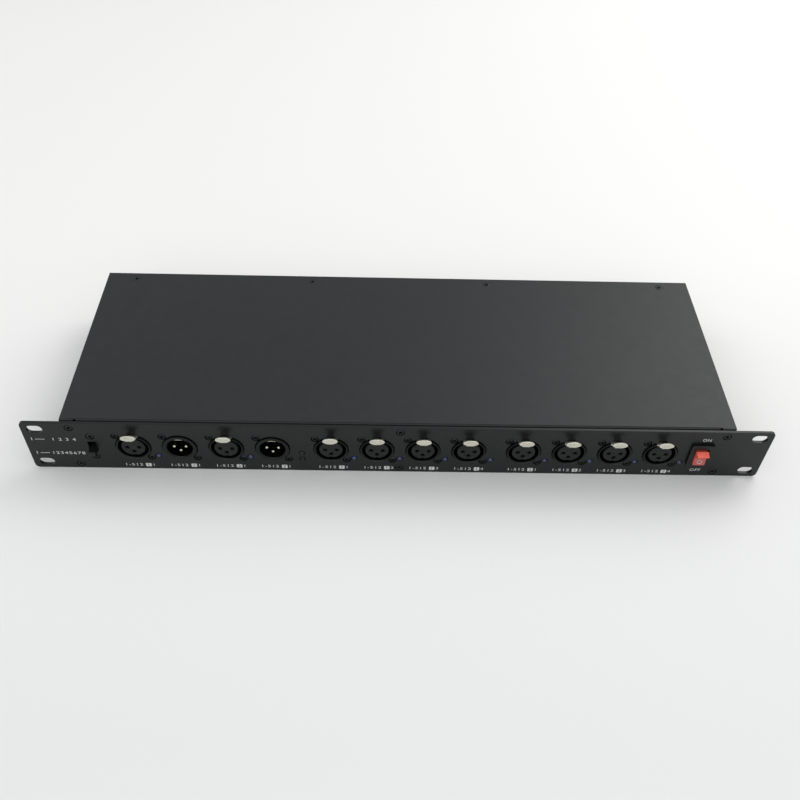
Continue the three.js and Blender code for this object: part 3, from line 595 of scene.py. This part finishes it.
def makePanel():
    plate = addBlock("panelPlate", panelLow, panelHigh)
    bevelEdges(plate, panelPlate["cornerRadius"], 8, isUpright)
    bevelEdges(plate, panelPlate["edge"], 2, lambda edge: not isUpright(edge))
    front, back, chamfer = panelFront - past, panelBack + past, panelPlate["chamfer"]
    lamps = lampPlaces + indicatorPlaces
    rounds = [(x, z, panelPlate["holeRadius"], 72) for x, z in socketPlaces.values()]
    rounds += [(x, z, panelPlate["lampHole"], 24) for x, z in lamps]
    chamfered = len(rounds)
    rounds += [(x, z, panelPlate["screwHole"], 32) for x, z in socketScrews.values()]
    cutters = [addRod("cutter", radius, front, back, sides, x, z) for x, z, radius, sides in rounds]
    sinks = []
    for x, z, radius, sides in rounds[:chamfered]:
        ends = (panelFront - chamfer, panelFront + 2 * chamfer)
        sinks.append(addRod("sink", radius - chamfer, *ends, sides + 4, x, z, tip=radius + 2 * chamfer))
    for x, z in list(panelScrews.values()) + modeScrews:
        cutters.append(addRod("cutter", screwSink["hole"], front, back, 32, x, z))
        ends = (front, panelFront + screwSink["depth"])
        sinks.append(addRod("sink", screwSink["tip"], *ends, 36, x, z, tip=screwSink["mouth"]))
    length, height = panelPlate["slot"]
    for x in (panelLow.x + panelPlate["slotInset"], panelHigh.x - panelPlate["slotInset"]):
        for z in panelPlate["slotHeights"]:
            slot = addWindow(x, z, (length / 2, height / 2))
            bevelEdges(slot, height / 2 - 0.1, 10, isUpright)
            cutters.append(slot)
    cutters.append(addWindow(modeX, modeZ, panelPlate["modeWindow"]))
    cutters.append(addWindow(powerX, powerZ, panelPlate["powerWindow"]))
    combine(plate, joinPieces(*cutters))
    combine(plate, joinPieces(*sinks))
    return smooth(plate, 30)


placePiece(makePanel(), anodised, "panel", "chassis", "front_panel")
print("front panel made")


# Screws with a cross recess: a countersunk one for panel, lid and slide switch, a pan head for the sockets
screw = {
    "shank": 1.5,
    "length": 5,
    "point": 0.4,
    "underHead": 1.62,
    "panHead": 2.05,
    "panRise": 2.1,
    "recess": 2.9,
    "recessArm": 0.42,
    "recessDepth": 1.2,
    "recessHeart": (0.8, 1.45),
    "panRecess": 1.2,
}
panelScrew = {"head": 2.2, "sink": 0.03, "recess": 1.1}
lidScrew = {"head": 2.72, "sink": 0.06, "recess": 1.0}


def crossCutter(front, share=1.0):  # two tapered bars that cross, as a driver's tip leaves
    arms = []
    half, width, depth = share * screw["recess"] / 2, share * screw["recessArm"], screw["recessDepth"]
    for across, up in ((half, width), (width, half)):
        arm = addBlock("cutter", (-across, front - past, -up), (across, front + depth, up))
        openParts(arm, "FACE", lambda face: face.normal.y > 0.9)
        bpy.ops.transform.resize(value=(0.45, 1, 0.45), center_override=(0, 0, 0))
        closeParts()
        arms.append(arm)
    inner, outer = screw["recessHeart"]
    heart = addRod("cutter", share * inner, front - past, front + 1.5 * depth, 20, tip=share * outer)
    return combine(combine(arms[0], arms[1], "UNION"), heart, "UNION")


def makeCountersunk(look):
    head, sink, shank, length = look["head"], look["sink"], screw["shank"], screw["length"]
    profile = [(0, sink), (head * 0.5, sink + 0.01), (head - 0.25, sink + 0.05), (head - 0.1, sink + 0.14)]
    profile += [(head, sink + 0.3), (shank, screw["underHead"])]
    profile += [(shank, length - screw["point"]), (shank - screw["point"], length), (0, length)]
    piece = turnProfile("countersunkScrew", profile, 32)
    combine(piece, crossCutter(0, look["recess"]))
    return smooth(piece, 30)


def makePanHead():
    head, rise = screw["panHead"], screw["panRise"]
    profile = [(0, -rise), (head * 0.6, 0.04 - rise), (head * 0.84, 0.16 - rise), (head * 0.96, 0.42 - rise)]
    profile += [(head, 0.8 - rise), (head, 0), (0, 0)]
    piece = turnProfile("panHeadScrew", profile, 32)
    combine(piece, crossCutter(-rise, screw["panRecess"]))
    return smooth(piece, 30)


def spun(angle):  # each screw stops at its own angle
    return Matrix.Rotation(math.radians(angle), 4, "Y")


panelScrewPiece = makeCountersunk(panelScrew)
lidScrewPiece = makeCountersunk(lidScrew)
panHeadPiece = makePanHead()
for count, (name, (x, z)) in enumerate(panelScrews.items()):
    copy = movedCopy(panelScrewPiece, f"panelScrew_{name}", x, panelFront, z, spun(17 + 29 * count))
    placePiece(copy, blackOxide, "screw", "chassis", f"panel_screw_{name}")
for count, (x, z) in enumerate(modeScrews):
    copy = movedCopy(panelScrewPiece, f"modeScrew_{count + 1}", x, panelFront, z, spun(40 + 31 * count))
    placePiece(copy, blackOxide, "screw", "chassis")
layFlat = Matrix.Rotation(-math.pi / 2, 4, "X")
for count in range(1, 5):
    low, high = [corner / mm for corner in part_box(f"lid_screw_{count}")]
    x, y = (low.x + high.x) / 2, (low.y + high.y) / 2
    copy = movedCopy(lidScrewPiece, f"lidScrew_{count}", x, y, high.z, layFlat @ spun(23 * count))
    placePiece(copy, powderCoat, "screw", "chassis", f"lid_screw_{count}")
for count, (name, (x, z)) in enumerate(socketScrews.items()):
    copy = movedCopy(panHeadPiece, f"socketScrew_{name}", x, panelBack, z, spun(37 * count))
    placePiece(copy, blackOxide, "screw", "chassis")
for piece in (panelScrewPiece, lidScrewPiece, panHeadPiece):
    bpy.data.objects.remove(piece)

# Thin cones of near-black paint that line the panel's countersinks: painted shade round the screw heads
liningProfile = [(2.86, 0.01), (2.2, 0.92), (2.15, 0.92), (2.8, 0.01), (2.86, 0.01)]
liningPiece = turnProfile("sinkLining", liningProfile, 36)
sinkPlaces = list(panelScrews.values()) + modeScrews
linings = [movedCopy(liningPiece, "lining", x, panelFront, z) for x, z in sinkPlaces]
bpy.data.objects.remove(liningPiece)
placePiece(joinPieces(*linings), sinkShadePaint, "panel", "chassis").name = "paintedShadeCones"
print("screws made")


# Sockets, about their axis with y = 0 at the panel's front face
shell = {
    "barrel": 11.05,
    "lip": 0.45,
    "lipCorner": 0.13,
    "proud": 1.0,
    "femaleBore": 9.8,
    "maleBore": 8.35,
    "flange": 13.0,
    "flangeCorner": 3,
    "flangeFront": 2.0,
    "flangeBack": 5.0,
    "housingTop": 11.2,
    "housingHalf": 11.5,
    "housingBack": 22.0,
    "drop": 14.2,
    "legSlotHalf": 7.25,
    "femaleSlotFront": 19.9,
    "maleSlotFront": 18.5,
}
mouth = {"inner": 0.26, "outer": 1.04, "out": 0.5, "back": 0.7}  # the lead-in cone of a bore
latchWay = {"half": 4.81, "low": 7.95, "high": 11.8, "back": 13.3}  # the slot that the latch moves in
latchPivot = {"place": (0, 3.5, 9.4), "hole": 0.9, "holeEnd": 6.1, "pin": 0.6, "pinStart": 3.9, "pinEnd": 5.81}
catch = {"half": 2.75, "depth": 3, "reach": 0.8}  # the step that holds a plug's latch in the male shell
keyway = {"half": 1.1, "back": 13.5, "reach": 0.9}
cutFront = -3  # cutters start well in front of the panel


def makeShell(name, bore, legSlotFront):
    proud, barrel, drop = shell["proud"], shell["barrel"], shell["drop"]
    front, back, end = shell["flangeFront"], shell["flangeBack"], shell["housingBack"]
    lip, corner = shell["lip"], shell["lipCorner"]
    barrelBack = back - 1.5  # inside the flange
    profile = [(0, -proud), (barrel - lip, -proud), (barrel - corner, -proud + corner), (barrel, -proud + lip)]
    profile += [(barrel, barrelBack), (0, barrelBack)]
    side = shell["flange"]
    flange = addBlock("flange", (-side, front, -side), (side, back, side))
    bevelEdges(flange, shell["flangeCorner"], 6, isUpright)
    half = shell["housingHalf"]
    housing = addBlock("housing", (-half, back - 0.5, -drop), (half, end, shell["housingTop"]))
    body = combine(flange, housing, "UNION")
    body = combine(body, turnProfile("barrel", profile, 64), "UNION")
    body = combine(body, addRod("cutter", bore + 0.01, cutFront, end + past, 60))
    ends = (-proud - mouth["out"], -proud + mouth["back"])
    body = combine(body, addRod("cutter", bore - mouth["inner"], *ends, 56, tip=bore + mouth["outer"]))
    half = shell["legSlotHalf"]
    body = combine(body, addBlock("cutter", (-half, legSlotFront, -drop - past), (half, end + past, 0)))
    return nameBoth(body, name)


def placeAtPivot(rod, side):  # laid across, along X, at the latch's pivot
    turn = Matrix.Rotation(side * math.pi / 2, 4, "Z")
    rod.data.transform(Matrix.Translation(Vector(latchPivot["place"]) * mm) @ turn)
    return rod


def makeFemaleShell():
    body = makeShell("femaleShell", shell["femaleBore"], shell["femaleSlotFront"])
    half, low, high = latchWay["half"], latchWay["low"], latchWay["high"]
    combine(body, addBlock("cutter", (-half, cutFront, low), (half, latchWay["back"], high)))
    hole = addRod("cutter", latchPivot["hole"], -latchPivot["holeEnd"], latchPivot["holeEnd"], 16)
    combine(body, placeAtPivot(hole, 1))
    return smooth(body)


def makeMaleShell():
    bore = shell["maleBore"]
    body = makeShell("maleShell", bore, shell["maleSlotFront"])
    half, reach = catch["half"], catch["reach"]
    combine(body, addBlock("catch", (-half, 0, bore - reach), (half, catch["depth"], bore + reach)), "UNION")
    half = keyway["half"]
    key = addBlock("cutter", (-half, cutFront, 0), (half, keyway["back"], bore + keyway["reach"]))
    key.data.transform(Matrix.Rotation(math.pi / 4, 4, "Y"))
    combine(body, key)
    return smooth(body)


femaleShellPiece = makeFemaleShell()
maleShellPiece = makeMaleShell()
print("socket shells made")

insert = {
    "radius": 7.65,
    "proud": 0.5,
    "edge": 0.45,
    "flange": 9.5,
    "flangeFront": 15.9,
    "flangeBack": 19.9,
    "maleFront": 13.5,
    "maleBack": 18.5,
    "maleEdge": 0.3,
    "collar": 1.9,
    "contactRadius": 3.85,
    "hole": 1.4,
    "holeDepth": 9,
    "holeMouth": (1.25, 1.9),
    "pin": 1.2,
}
contactPlaces = [(-insert["contactRadius"], 0), (insert["contactRadius"], 0), (0, -insert["contactRadius"])]
leg = {"pitch": 6.35, "half": 0.45, "top": -2.95, "bend": -3.85, "foot": -14.2, "deep": 1.8, "bent": 0.9}


def addLegs(body, front):  # three legs down to the board
    half, top, back = leg["half"], leg["top"], front + leg["deep"]
    for x in (-leg["pitch"], 0, leg["pitch"]):
        high = addBlock("leg", (x - half, front, leg["bend"]), (x + half, back, top))
        low = addBlock("leg", (x - half, front + leg["bent"], leg["foot"]), (x + half, back, top))
        combine(body, combine(high, low, "UNION"), "UNION")
    return body


def makeFemaleInsert():
    radius, front, edge = insert["radius"], -insert["proud"], insert["edge"]
    rim, rimFront, rimBack = insert["flange"], insert["flangeFront"], insert["flangeBack"]
    profile = [(0, front), (radius - edge, front), (radius - edge * 0.3, front + edge * 0.3)]
    profile += [(radius, front + edge), (radius, rimFront), (rim, rimFront), (rim, rimBack), (0, rimBack)]
    body = turnProfile("femaleInsert", profile, 56)
    inner, outer = insert["holeMouth"]
    for x, z in contactPlaces:
        combine(body, addRod("cutter", insert["hole"], front - past, front + insert["holeDepth"], 28, x, z))
        combine(body, addRod("lead", inner, front - 0.4, front + 0.35, 32, x, z, tip=outer))
    half, keyTop = keyway["half"], -radius + keyway["reach"]
    combine(body, addBlock("cutter", (-half, front - past, -radius - 1.35), (half, rimFront - 1, keyTop)))
    addLegs(body, rimBack - leg["bent"])
    return smooth(body, 30)


def setThree(first, name):  # one at each contact's place, joined
    copies = [movedCopy(first, name, x, 0, z) for x, z in contactPlaces[1:]]
    x, z = contactPlaces[0]
    first.data.transform(Matrix.Translation((x * mm, 0, z * mm)))
    return joinPieces(first, *copies)


def makeContactSleeves():
    profile = [(0.8, 3.5), (1.15, 3.5), (1.3, 3.7), (1.3, 7.5), (0.8, 7.5), (0.8, 3.5)]
    return smooth(setThree(turnProfile("contactSleeves", profile, 20), "sleeve"))


def makeMaleInsert():
    front, edge = insert["maleFront"], insert["maleEdge"]
    body = addRod("maleInsert", shell["maleBore"] - 0.3, front, insert["maleBack"], 48)
    atFront = (front + 0.1) * mm
    bevelEdges(body, edge, 2, lambda line: edgeMiddle(line).y < atFront and abs(edgeWay(line).y) < 0.5)
    for x, z in contactPlaces:  # a moulded collar round the foot of each pin
        combine(body, addRod("collar", insert["collar"], front - 0.6, front + 0.5, 28, x, z), "UNION")
    addLegs(body, insert["maleBack"] - leg["bent"])
    return smooth(body, 30)


def makePins():
    radius, back = insert["pin"], insert["maleFront"] + 0.5
    profile = [(0, 0.3), (radius * 0.5, 0.38), (radius * 0.85, 0.75), (radius, 1.4), (radius, back), (0, back)]
    pins = setThree(turnProfile("contactPins", profile, 28), "pin")
    bore = shell["maleBore"]
    plate = addBlock("catchPlate", (-2.7, -0.4, bore - 0.85), (2.7, -0.02, bore - 0.05))
    bevelEdges(plate, 0.1, 2, lambda line: edgeMiddle(line).y < -0.3 * mm)
    return smooth(joinPieces(pins, plate))


femaleInsertPiece = makeFemaleInsert()
sleevesPiece = makeContactSleeves()
maleInsertPiece = makeMaleInsert()
pinsPiece = makePins()
print("socket inserts made")

latch = {
    "inner": 9.9,
    "outer": 11.1,
    "halfAngle": 24,
    "front": -1.2,
    "back": 13.0,
    "earRadius": 11.9,
    "earAngle": 14,
    "earThick": 0.17,
    "tab": (9.9, 4.2, 1.2),
    "tabEdge": 0.42,
    "tabPlace": (-5.0, 14.0),
    "tabTilt": 10,
    "neck": 4.8,
}
tabRib = {"half": 2.4, "rise": 0.1, "thick": 0.15, "places": (-0.9, -0.3, 0.3, 0.9)}


def bendRound(strip, halfAngle, steps):  # a thin upright strip swept about the socket's axis, to both sides
    strip.data.transform(Matrix.Rotation(math.radians(-halfAngle), 4, "Y"))
    openParts(strip, "FACE", lambda face: face.normal.x > 0.5)
    bpy.ops.mesh.spin(steps=steps, angle=math.radians(2 * halfAngle), center=(0, 0, 0), axis=(0, -1, 0))
    fuseMesh(mergeGap["mesh"])
    closeParts()
    return strip


def makeLatch():
    inner, front, sliver = latch["inner"], latch["front"], 0.01
    lever = addBlock("latch", (-sliver, front + 0.1, inner), (sliver, latch["back"], latch["outer"]))
    bendRound(lever, latch["halfAngle"], 14)
    taper = addBlock("taper", (3.0, -2.5, 8.5), (6.5, 0.2, 12.5))
    openParts(taper, "VERT", lambda point: point.co.y > 0 and point.co.x < 4 * mm)
    bpy.ops.transform.translate(value=(1.3 * mm, 0, 0))
    closeParts()
    combine(lever, movedCopy(taper, "taper", turn=Matrix.Diagonal((-1, 1, 1, 1))))
    combine(lever, taper)
    earBack = front + latch["earThick"]
    ears = addBlock("ears", (-sliver, front, inner + 0.1), (sliver, earBack, latch["earRadius"]))
    combine(lever, bendRound(ears, latch["earAngle"], 16), "UNION")
    for side in (-1, 1):
        pin = addRod("trunnion", latchPivot["pin"], latchPivot["pinStart"], latchPivot["pinEnd"], 16)
        combine(lever, placeAtPivot(pin, -side), "UNION")
    hook = addBlock("hook", (-2.5, 10.5, 8.6), (2.5, 12.9, 10.5))
    openParts(hook, "VERT", lambda point: point.co.z < 9 * mm and point.co.y < 11 * mm)
    bpy.ops.transform.translate(value=(0, 1.25 * mm, 0))
    closeParts()
    combine(lever, hook, "UNION")
    return lever


def makeTab():
    width, height, thickness = latch["tab"]
    y, z = latch["tabPlace"]
    tab = addRod("tab", 1, -thickness / 2, thickness / 2, 56)
    tab.data.transform(Matrix.Diagonal((width / 2, 1, height / 2, 1)))
    bevelEdges(tab, latch["tabEdge"], 4, lambda edge: abs(edgeWay(edge).y) < 0.5)
    half, rise, thick = tabRib["half"], tabRib["rise"], tabRib["thick"]
    for up in tabRib["places"]:  # finger ribs pressed into the tab
        rib = addBlock("rib", (-half, -thickness / 2 - rise, up - thick), (half, 0, up + thick))
        bevelEdges(rib, 0.08, 2, lambda edge: edgeMiddle(edge).y < -thickness / 2 * mm)
        combine(tab, rib, "UNION")
    tilt = Matrix.Rotation(math.radians(-latch["tabTilt"]), 4, "X")
    tab.data.transform(Matrix.Translation((0, y * mm, z * mm)) @ tilt)
    return tab


def makeNeck():  # from the lever's front edge out and up to the tab
    half = latch["neck"] / 2
    neck = addBlock("neck", (-half, -0.9, 10.2), (half, 0.1, 10.78))
    openParts(neck, "FACE", lambda face: face.normal.y < -0.9)
    bpy.ops.mesh.extrude_region_move(TRANSFORM_OT_translate={"value": (0, -3.5 * mm, 0.3 * mm)})
    bpy.ops.transform.resize(value=(1.0, 1, 1.8), center_override=(0, -4.4 * mm, 10.8 * mm))
    bpy.ops.mesh.extrude_region_move(TRANSFORM_OT_translate={"value": (0, -0.8 * mm, 2 * mm)})
    closeParts()
    return neck


def makeWholeLatch():
    body = makeLatch()
    combine(body, makeNeck(), "UNION")
    combine(body, makeTab(), "UNION")
    return smooth(body)


latchPiece = makeWholeLatch()
print("latch made")

malePieces = (maleShellPiece, maleInsertPiece, pinsPiece)
femalePieces = (femaleShellPiece, femaleInsertPiece, sleevesPiece)
for index, (x, z) in socketPlaces.items():
    number = f"{index:02d}"
    shellPiece, insertPiece, contactPiece = malePieces if index in maleOnes else femalePieces
    shellCopy = movedCopy(shellPiece, f"socketShell_{number}", x, panelFront, z)
    placePiece(shellCopy, blackZinc, "shell", "chassis", f"socket_{number}_shell")
    insertCopy = movedCopy(insertPiece, f"socketInsert_{number}", x, panelFront, z)
    placePiece(insertCopy, nylon, "insert", "chassis", f"socket_{number}_insert")
    contacts = movedCopy(contactPiece, f"socketContacts_{number}", x, panelFront, z)
    placePiece(contacts, contactPlate, "nickel", "chassis")
    if index not in maleOnes:
        latchCopy = movedCopy(latchPiece, f"socketLatch_{number}", x, panelFront, z)
        placePiece(latchCopy, nickel, "nickel", f"latch_{number}", f"socket_{number}_latch")
for piece in (*malePieces, *femalePieces, latchPiece):
    bpy.data.objects.remove(piece)
print("sockets placed")


# Lamps: epoxy domes over the board's lamps
lens = {"radius": 1.53, "rise": 0.6, "flatness": 0.55, "steps": 7, "back": 2.2}


def makeLens():
    radius, steps, back = lens["radius"], lens["steps"], lens["back"]
    profile = []
    for step in range(steps + 1):
        angle = step / steps * math.pi / 2
        depth = radius * lens["flatness"] * (1 - math.cos(angle))
        profile.append((radius * math.sin(angle), -lens["rise"] + depth))
    profile += [(radius, back), (0, back)]
    return smooth(turnProfile("lens", profile, 28), 40)


lensPiece = makeLens()
for count, (x, z) in enumerate(lampPlaces):
    copy = movedCopy(lensPiece, f"statusLamp_{femaleOnes[count]:02d}", x, panelFront, z)
    placePiece(copy, blueEpoxy, "plastic", "chassis")
for count, (x, z) in enumerate(indicatorPlaces):
    copy = movedCopy(lensPiece, f"indicatorLamp_{count + 1}", x, panelFront, z)
    placePiece(copy, (clearEpoxy, smokedEpoxy)[count], "plastic", "chassis")
bpy.data.objects.remove(lensPiece)
print("lamps made")


# Case, boards, switches and inlet keep their CAD forms with soft edges
casePieces = {
    "top_cover": ("lidSheet", 0.15, powderCoat, "cover", "chassis"),
    "chassis_tray": ("traySheet", 0.15, powderCoat, "cover", "chassis"),
    "mode_switch_body": ("slideSwitchBody", 0.15, polycarbonate, "plastic", "chassis"),
    "mode_slider": ("slideKnob", 0.2, polycarbonate, "plastic", "mode_slider"),
    "power_switch_body": ("rockerBezel", 0.35, polycarbonate, "plastic", "chassis"),
    "power_rocker": ("rockerCap", 0.25, redRocker, "rocker", "power_rocker"),
    "inlet_housing": ("inletBody", 0.3, polycarbonate, "plastic", "chassis"),
    "fuse_drawer": ("fuseDrawerFace", 0.2, polycarbonate, "plastic", "fuse_drawer"),
    "inlet_pin_earth": ("inletPinEarth", 0.3, nickel, "nickel", "chassis"),
    "inlet_pin_line": ("inletPinLine", 0.3, nickel, "nickel", "chassis"),
    "inlet_pin_neutral": ("inletPinNeutral", 0.3, nickel, "nickel", "chassis"),
}
rockerFace = {"tilt": 15, "axis": (-76.7, 22.0), "reach": 5.1, "half": 5.7}
rockerFace.update({"dish": 2.2, "cadDish": 0.5, "cadFold": 4.7})
lidBend = {"size": 2.1, "back": 1.0}


def leanLid(piece):  # the front bend lies a little back, which leaves a dark line behind the panel
    low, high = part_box("top_cover")
    size = lidBend["size"] * mm
    openParts(piece, "VERT", lambda v: v.co.y < low.y + size and v.co.z > high.z - size)
    bpy.ops.transform.translate(value=(0, lidBend["back"] * mm, 0))
    closeParts()


def deepenRocker(piece):  # the fold across the middle of its face goes further in, as a V
    lean = math.radians(rockerFace["tilt"])
    axisY, axisZ = rockerFace["axis"]
    fold = rockerFace["cadFold"]
    foldY, foldZ = axisY - fold * math.cos(lean), axisZ - fold * math.sin(lean)
    openParts(piece, "VERT", lambda v: math.hypot(v.co.y / mm - foldY, v.co.z / mm - foldZ) < 0.05)
    deeper = (rockerFace["dish"] - rockerFace["cadDish"]) * mm
    bpy.ops.transform.translate(value=(0, deeper * math.cos(lean), deeper * math.sin(lean)))
    closeParts()


# The second material paints shade on the rocker's two pressing faces, as a darker red
def shadeRockerFaces(piece):  # the two faces that are pressed take the second material
    lean = math.radians(rockerFace["tilt"])
    outwards = Vector((0, -math.cos(lean), -math.sin(lean)))
    piece.data.materials.append(rockerShadedFaces)
    openParts(piece, "FACE", lambda face: face.normal.dot(outwards) > 0.85)
    piece.active_material_index = 1
    bpy.ops.object.material_slot_assign()
    closeParts()


reshapers = {"top_cover": leanLid, "power_rocker": deepenRocker}
for nodeName, (name, width, material, slotName, body) in casePieces.items():
    piece = refinedCopy(nodeName, name, width, reshape=reshapers.get(nodeName))
    placePiece(piece, material, slotName, body, nodeName)
    if nodeName == "power_rocker":
        shadeRockerFaces(piece)

# Nodes that stay as they are, inside the case
keptNodes = {
    "main_board": boardLaminate,
    "power_supply_board": boardLaminate,
    "transformer": coreSteel,
    "fuse": glassTube,
}
for nodeName, material in keptNodes.items():
    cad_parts[nodeName].data.materials.clear()
    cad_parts[nodeName].data.materials.append(material)
print("case, switches and inlet made")


# Marks on the rocker: a ring near its lower end and a bar near its upper end, on the tilted face
rockerMarks = {"ringAt": -2.9, "barAt": 2.75, "rise": 0.14, "ring": (1.38, 1.68), "bar": (0.17, 1.5)}


def placeOnRocker(piece):
    axisY, axisZ = rockerFace["axis"]
    turn = Matrix.Rotation(math.radians(rockerFace["tilt"]), 4, "X")
    piece.data.transform(Matrix.Translation((powerX * mm, axisY * mm, axisZ * mm)) @ turn)
    return piece


def layOnDish(piece, up):  # on the half of the V that lies above or below the rocker's axis
    dish, half = rockerFace["dish"], rockerFace["half"]
    lean = math.atan2(dish, half) * (1 if up > 0 else -1)
    depth = -rockerFace["reach"] + dish * (1 - abs(up) / half)
    piece.data.transform(Matrix.Translation((0, depth * mm, up * mm)) @ Matrix.Rotation(lean, 4, "X"))
    return piece


rise = rockerMarks["rise"]
inner, outer = rockerMarks["ring"]
ringProfile = [(inner, 0), (inner, -rise), (outer, -rise), (outer, 0), (inner, 0)]
ring = layOnDish(turnProfile("rockerRing", ringProfile, 40), rockerMarks["ringAt"])
across, up = rockerMarks["bar"]
bar = layOnDish(addBlock("rockerBar", (-across, -rise, -up), (across, 0, up)), rockerMarks["barAt"])
placePiece(placeOnRocker(joinPieces(ring, bar)), whiteInk, "rocker", "power_rocker").name = "rockerMarks"
print("rocker marked")


# Printed marks: plain numbers and ON / OFF, with a numbered square under each socket
marks = {
    "capHeight": 2.4,
    "capShare": 0.7,  # of the font's size
    "lift": 0.02,
    "thickness": 0.04,
    "labelZ": 3.9,
    "square": (3.7, 3.3),
    "squareCorner": 0.5,
    "wordsAcross": -3.0,
    "squareAcross": 6.7,
    "lastAcross": 10.2,
}
switchMarks = {"on": (198.6, 36.2), "off": (198.5, 5.9), "height": 2.6}
modeMarks = {"first": -236.6, "dash": -231.4, "outputs": -216.2}
modeMarks.update({"dashSize": (6, 0.4), "firstHeight": 2.7, "height": 2.6})


def addWords(words, x, z, height, lift=0.0, stretch=1.25):
    clearSelection()
    front = panelFront - marks["lift"] - lift
    bpy.ops.object.text_add(location=(x * mm, front * mm, z * mm), rotation=turnToY)
    text = bpy.context.object
    text.data.body = words
    text.data.size = height * mm / marks["capShare"]
    text.data.align_x = "CENTER"
    text.data.align_y = "CENTER"
    text.data.extrude = marks["thickness"] / 2 * mm
    text.data.resolution_u = 3
    text.data.space_character = 1.15
    text.scale = (stretch, 1, 1)
    pick(text)
    bpy.ops.object.convert(target="MESH")
    words = settle(bpy.context.object, "words")
    openParts(words, "VERT")
    bpy.ops.mesh.remove_doubles(threshold=mergeGap["words"])
    closeParts()
    return words


def addPlate(x, z, width, height):
    front = panelFront - marks["lift"]
    half = marks["thickness"] / 2
    low = (x - width / 2, front - half, z - height / 2)
    return addBlock("plate", low, (x + width / 2, front + half, z + height / 2))


whites = []
blacks = []
labels = ["11", "11", "21", "21", "11", "12", "13", "14", "21", "22", "23", "24"]  # in the square, and last
labelZ, capHeight = marks["labelZ"], marks["capHeight"]
for (square, last), (x, z) in zip(labels, socketPlaces.values()):
    squareX = x + marks["squareAcross"]
    whites.append(addWords("1-512", x + marks["wordsAcross"], labelZ, capHeight, stretch=1.35))
    whites.append(addPlate(squareX, labelZ, *marks["square"]))
    bevelEdges(whites[-1], marks["squareCorner"], 4, isUpright)
    blacks.append(addWords(square, squareX, labelZ, 2.2, lift=0.03))
    whites.append(addWords(last, x + marks["lastAcross"], labelZ, capHeight))
whites.append(addWords("ON", *switchMarks["on"], switchMarks["height"], stretch=0.93))
whites.append(addWords("OFF", *switchMarks["off"], switchMarks["height"], stretch=1.04))
for outputs, z in (("1 2 3 4", 28.5), ("12345678", 15.0)):
    whites.append(addWords("1", modeMarks["first"], z, modeMarks["firstHeight"]))
    whites.append(addPlate(modeMarks["dash"], z, *modeMarks["dashSize"]))
    whites.append(addWords(outputs, modeMarks["outputs"], z, modeMarks["height"], stretch=1.3))
placePiece(joinPieces(*whites), whiteInk, "panel", "chassis").name = "printedMarks"
placePiece(joinPieces(*blacks), anodised, "panel", "chassis").name = "printedNumbers"
print("marks printed")


# Floor, lamps and world
floorLook = {"size": 6.0, "darkUpTo": -0.26, "lightFrom": 0.16}
bpy.ops.mesh.primitive_plane_add(size=floorLook["size"], location=(0, 0, 0))
floor = bpy.context.object
floor.name = "floor"
floorPaint = startMaterial("paleTableTop", Roughness=0.6, SpecularIORLevel=0.2)
place = objectPlace(floorPaint)
along = addNode(floorPaint, "ShaderNodeSeparateXYZ", Vector=place)
# Painted shade: the floor's colour darkens towards the camera side, in front of the case
reach = (floorLook["darkUpTo"], floorLook["lightFrom"])
mixColours(floorPaint, along.outputs["Y"], *reach, "#dfe1e1", "#ececec")
addRelief(floorPaint, place, 1.2, 0.02, 0.1)
floor.data.materials.append(floorPaint)

lampSet = {
    "key": {"place": (1.1, 0.9, 1.25), "size": 1.3, "power": 16.5, "colour": "#fffefb"},
    "fill": {"place": (-0.1, -1.2, 1.1), "size": 1.6, "power": 8, "colour": "#fbfcff"},
    "side": {"place": (-1.4, 0.35, 1.0), "size": 1.2, "power": 4, "colour": "#fdfdfd"},
}
for name, look in lampSet.items():
    bpy.ops.object.light_add(type="AREA", location=look["place"])
    lamp = bpy.context.object
    lamp.name = name
    lamp.data.size = look["size"]
    lamp.data.energy = look["power"]
    lamp.data.color = linear(look["colour"])[:3]
    lamp.rotation_euler = (Vector((0, 0, 0)) - lamp.location).to_track_quat("-Z", "Y").to_euler()

worldLook = {"colour": "#e9e9e8", "strength": 0.78}
world = bpy.data.worlds.new("paleRoom")
bpy.context.scene.world = world
world.use_nodes = True
background = world.node_tree.nodes["Background"]
background.inputs["Color"].default_value = linear(worldLook["colour"])
background.inputs["Strength"].default_value = worldLook["strength"]
print("floor, lamps and world ready")
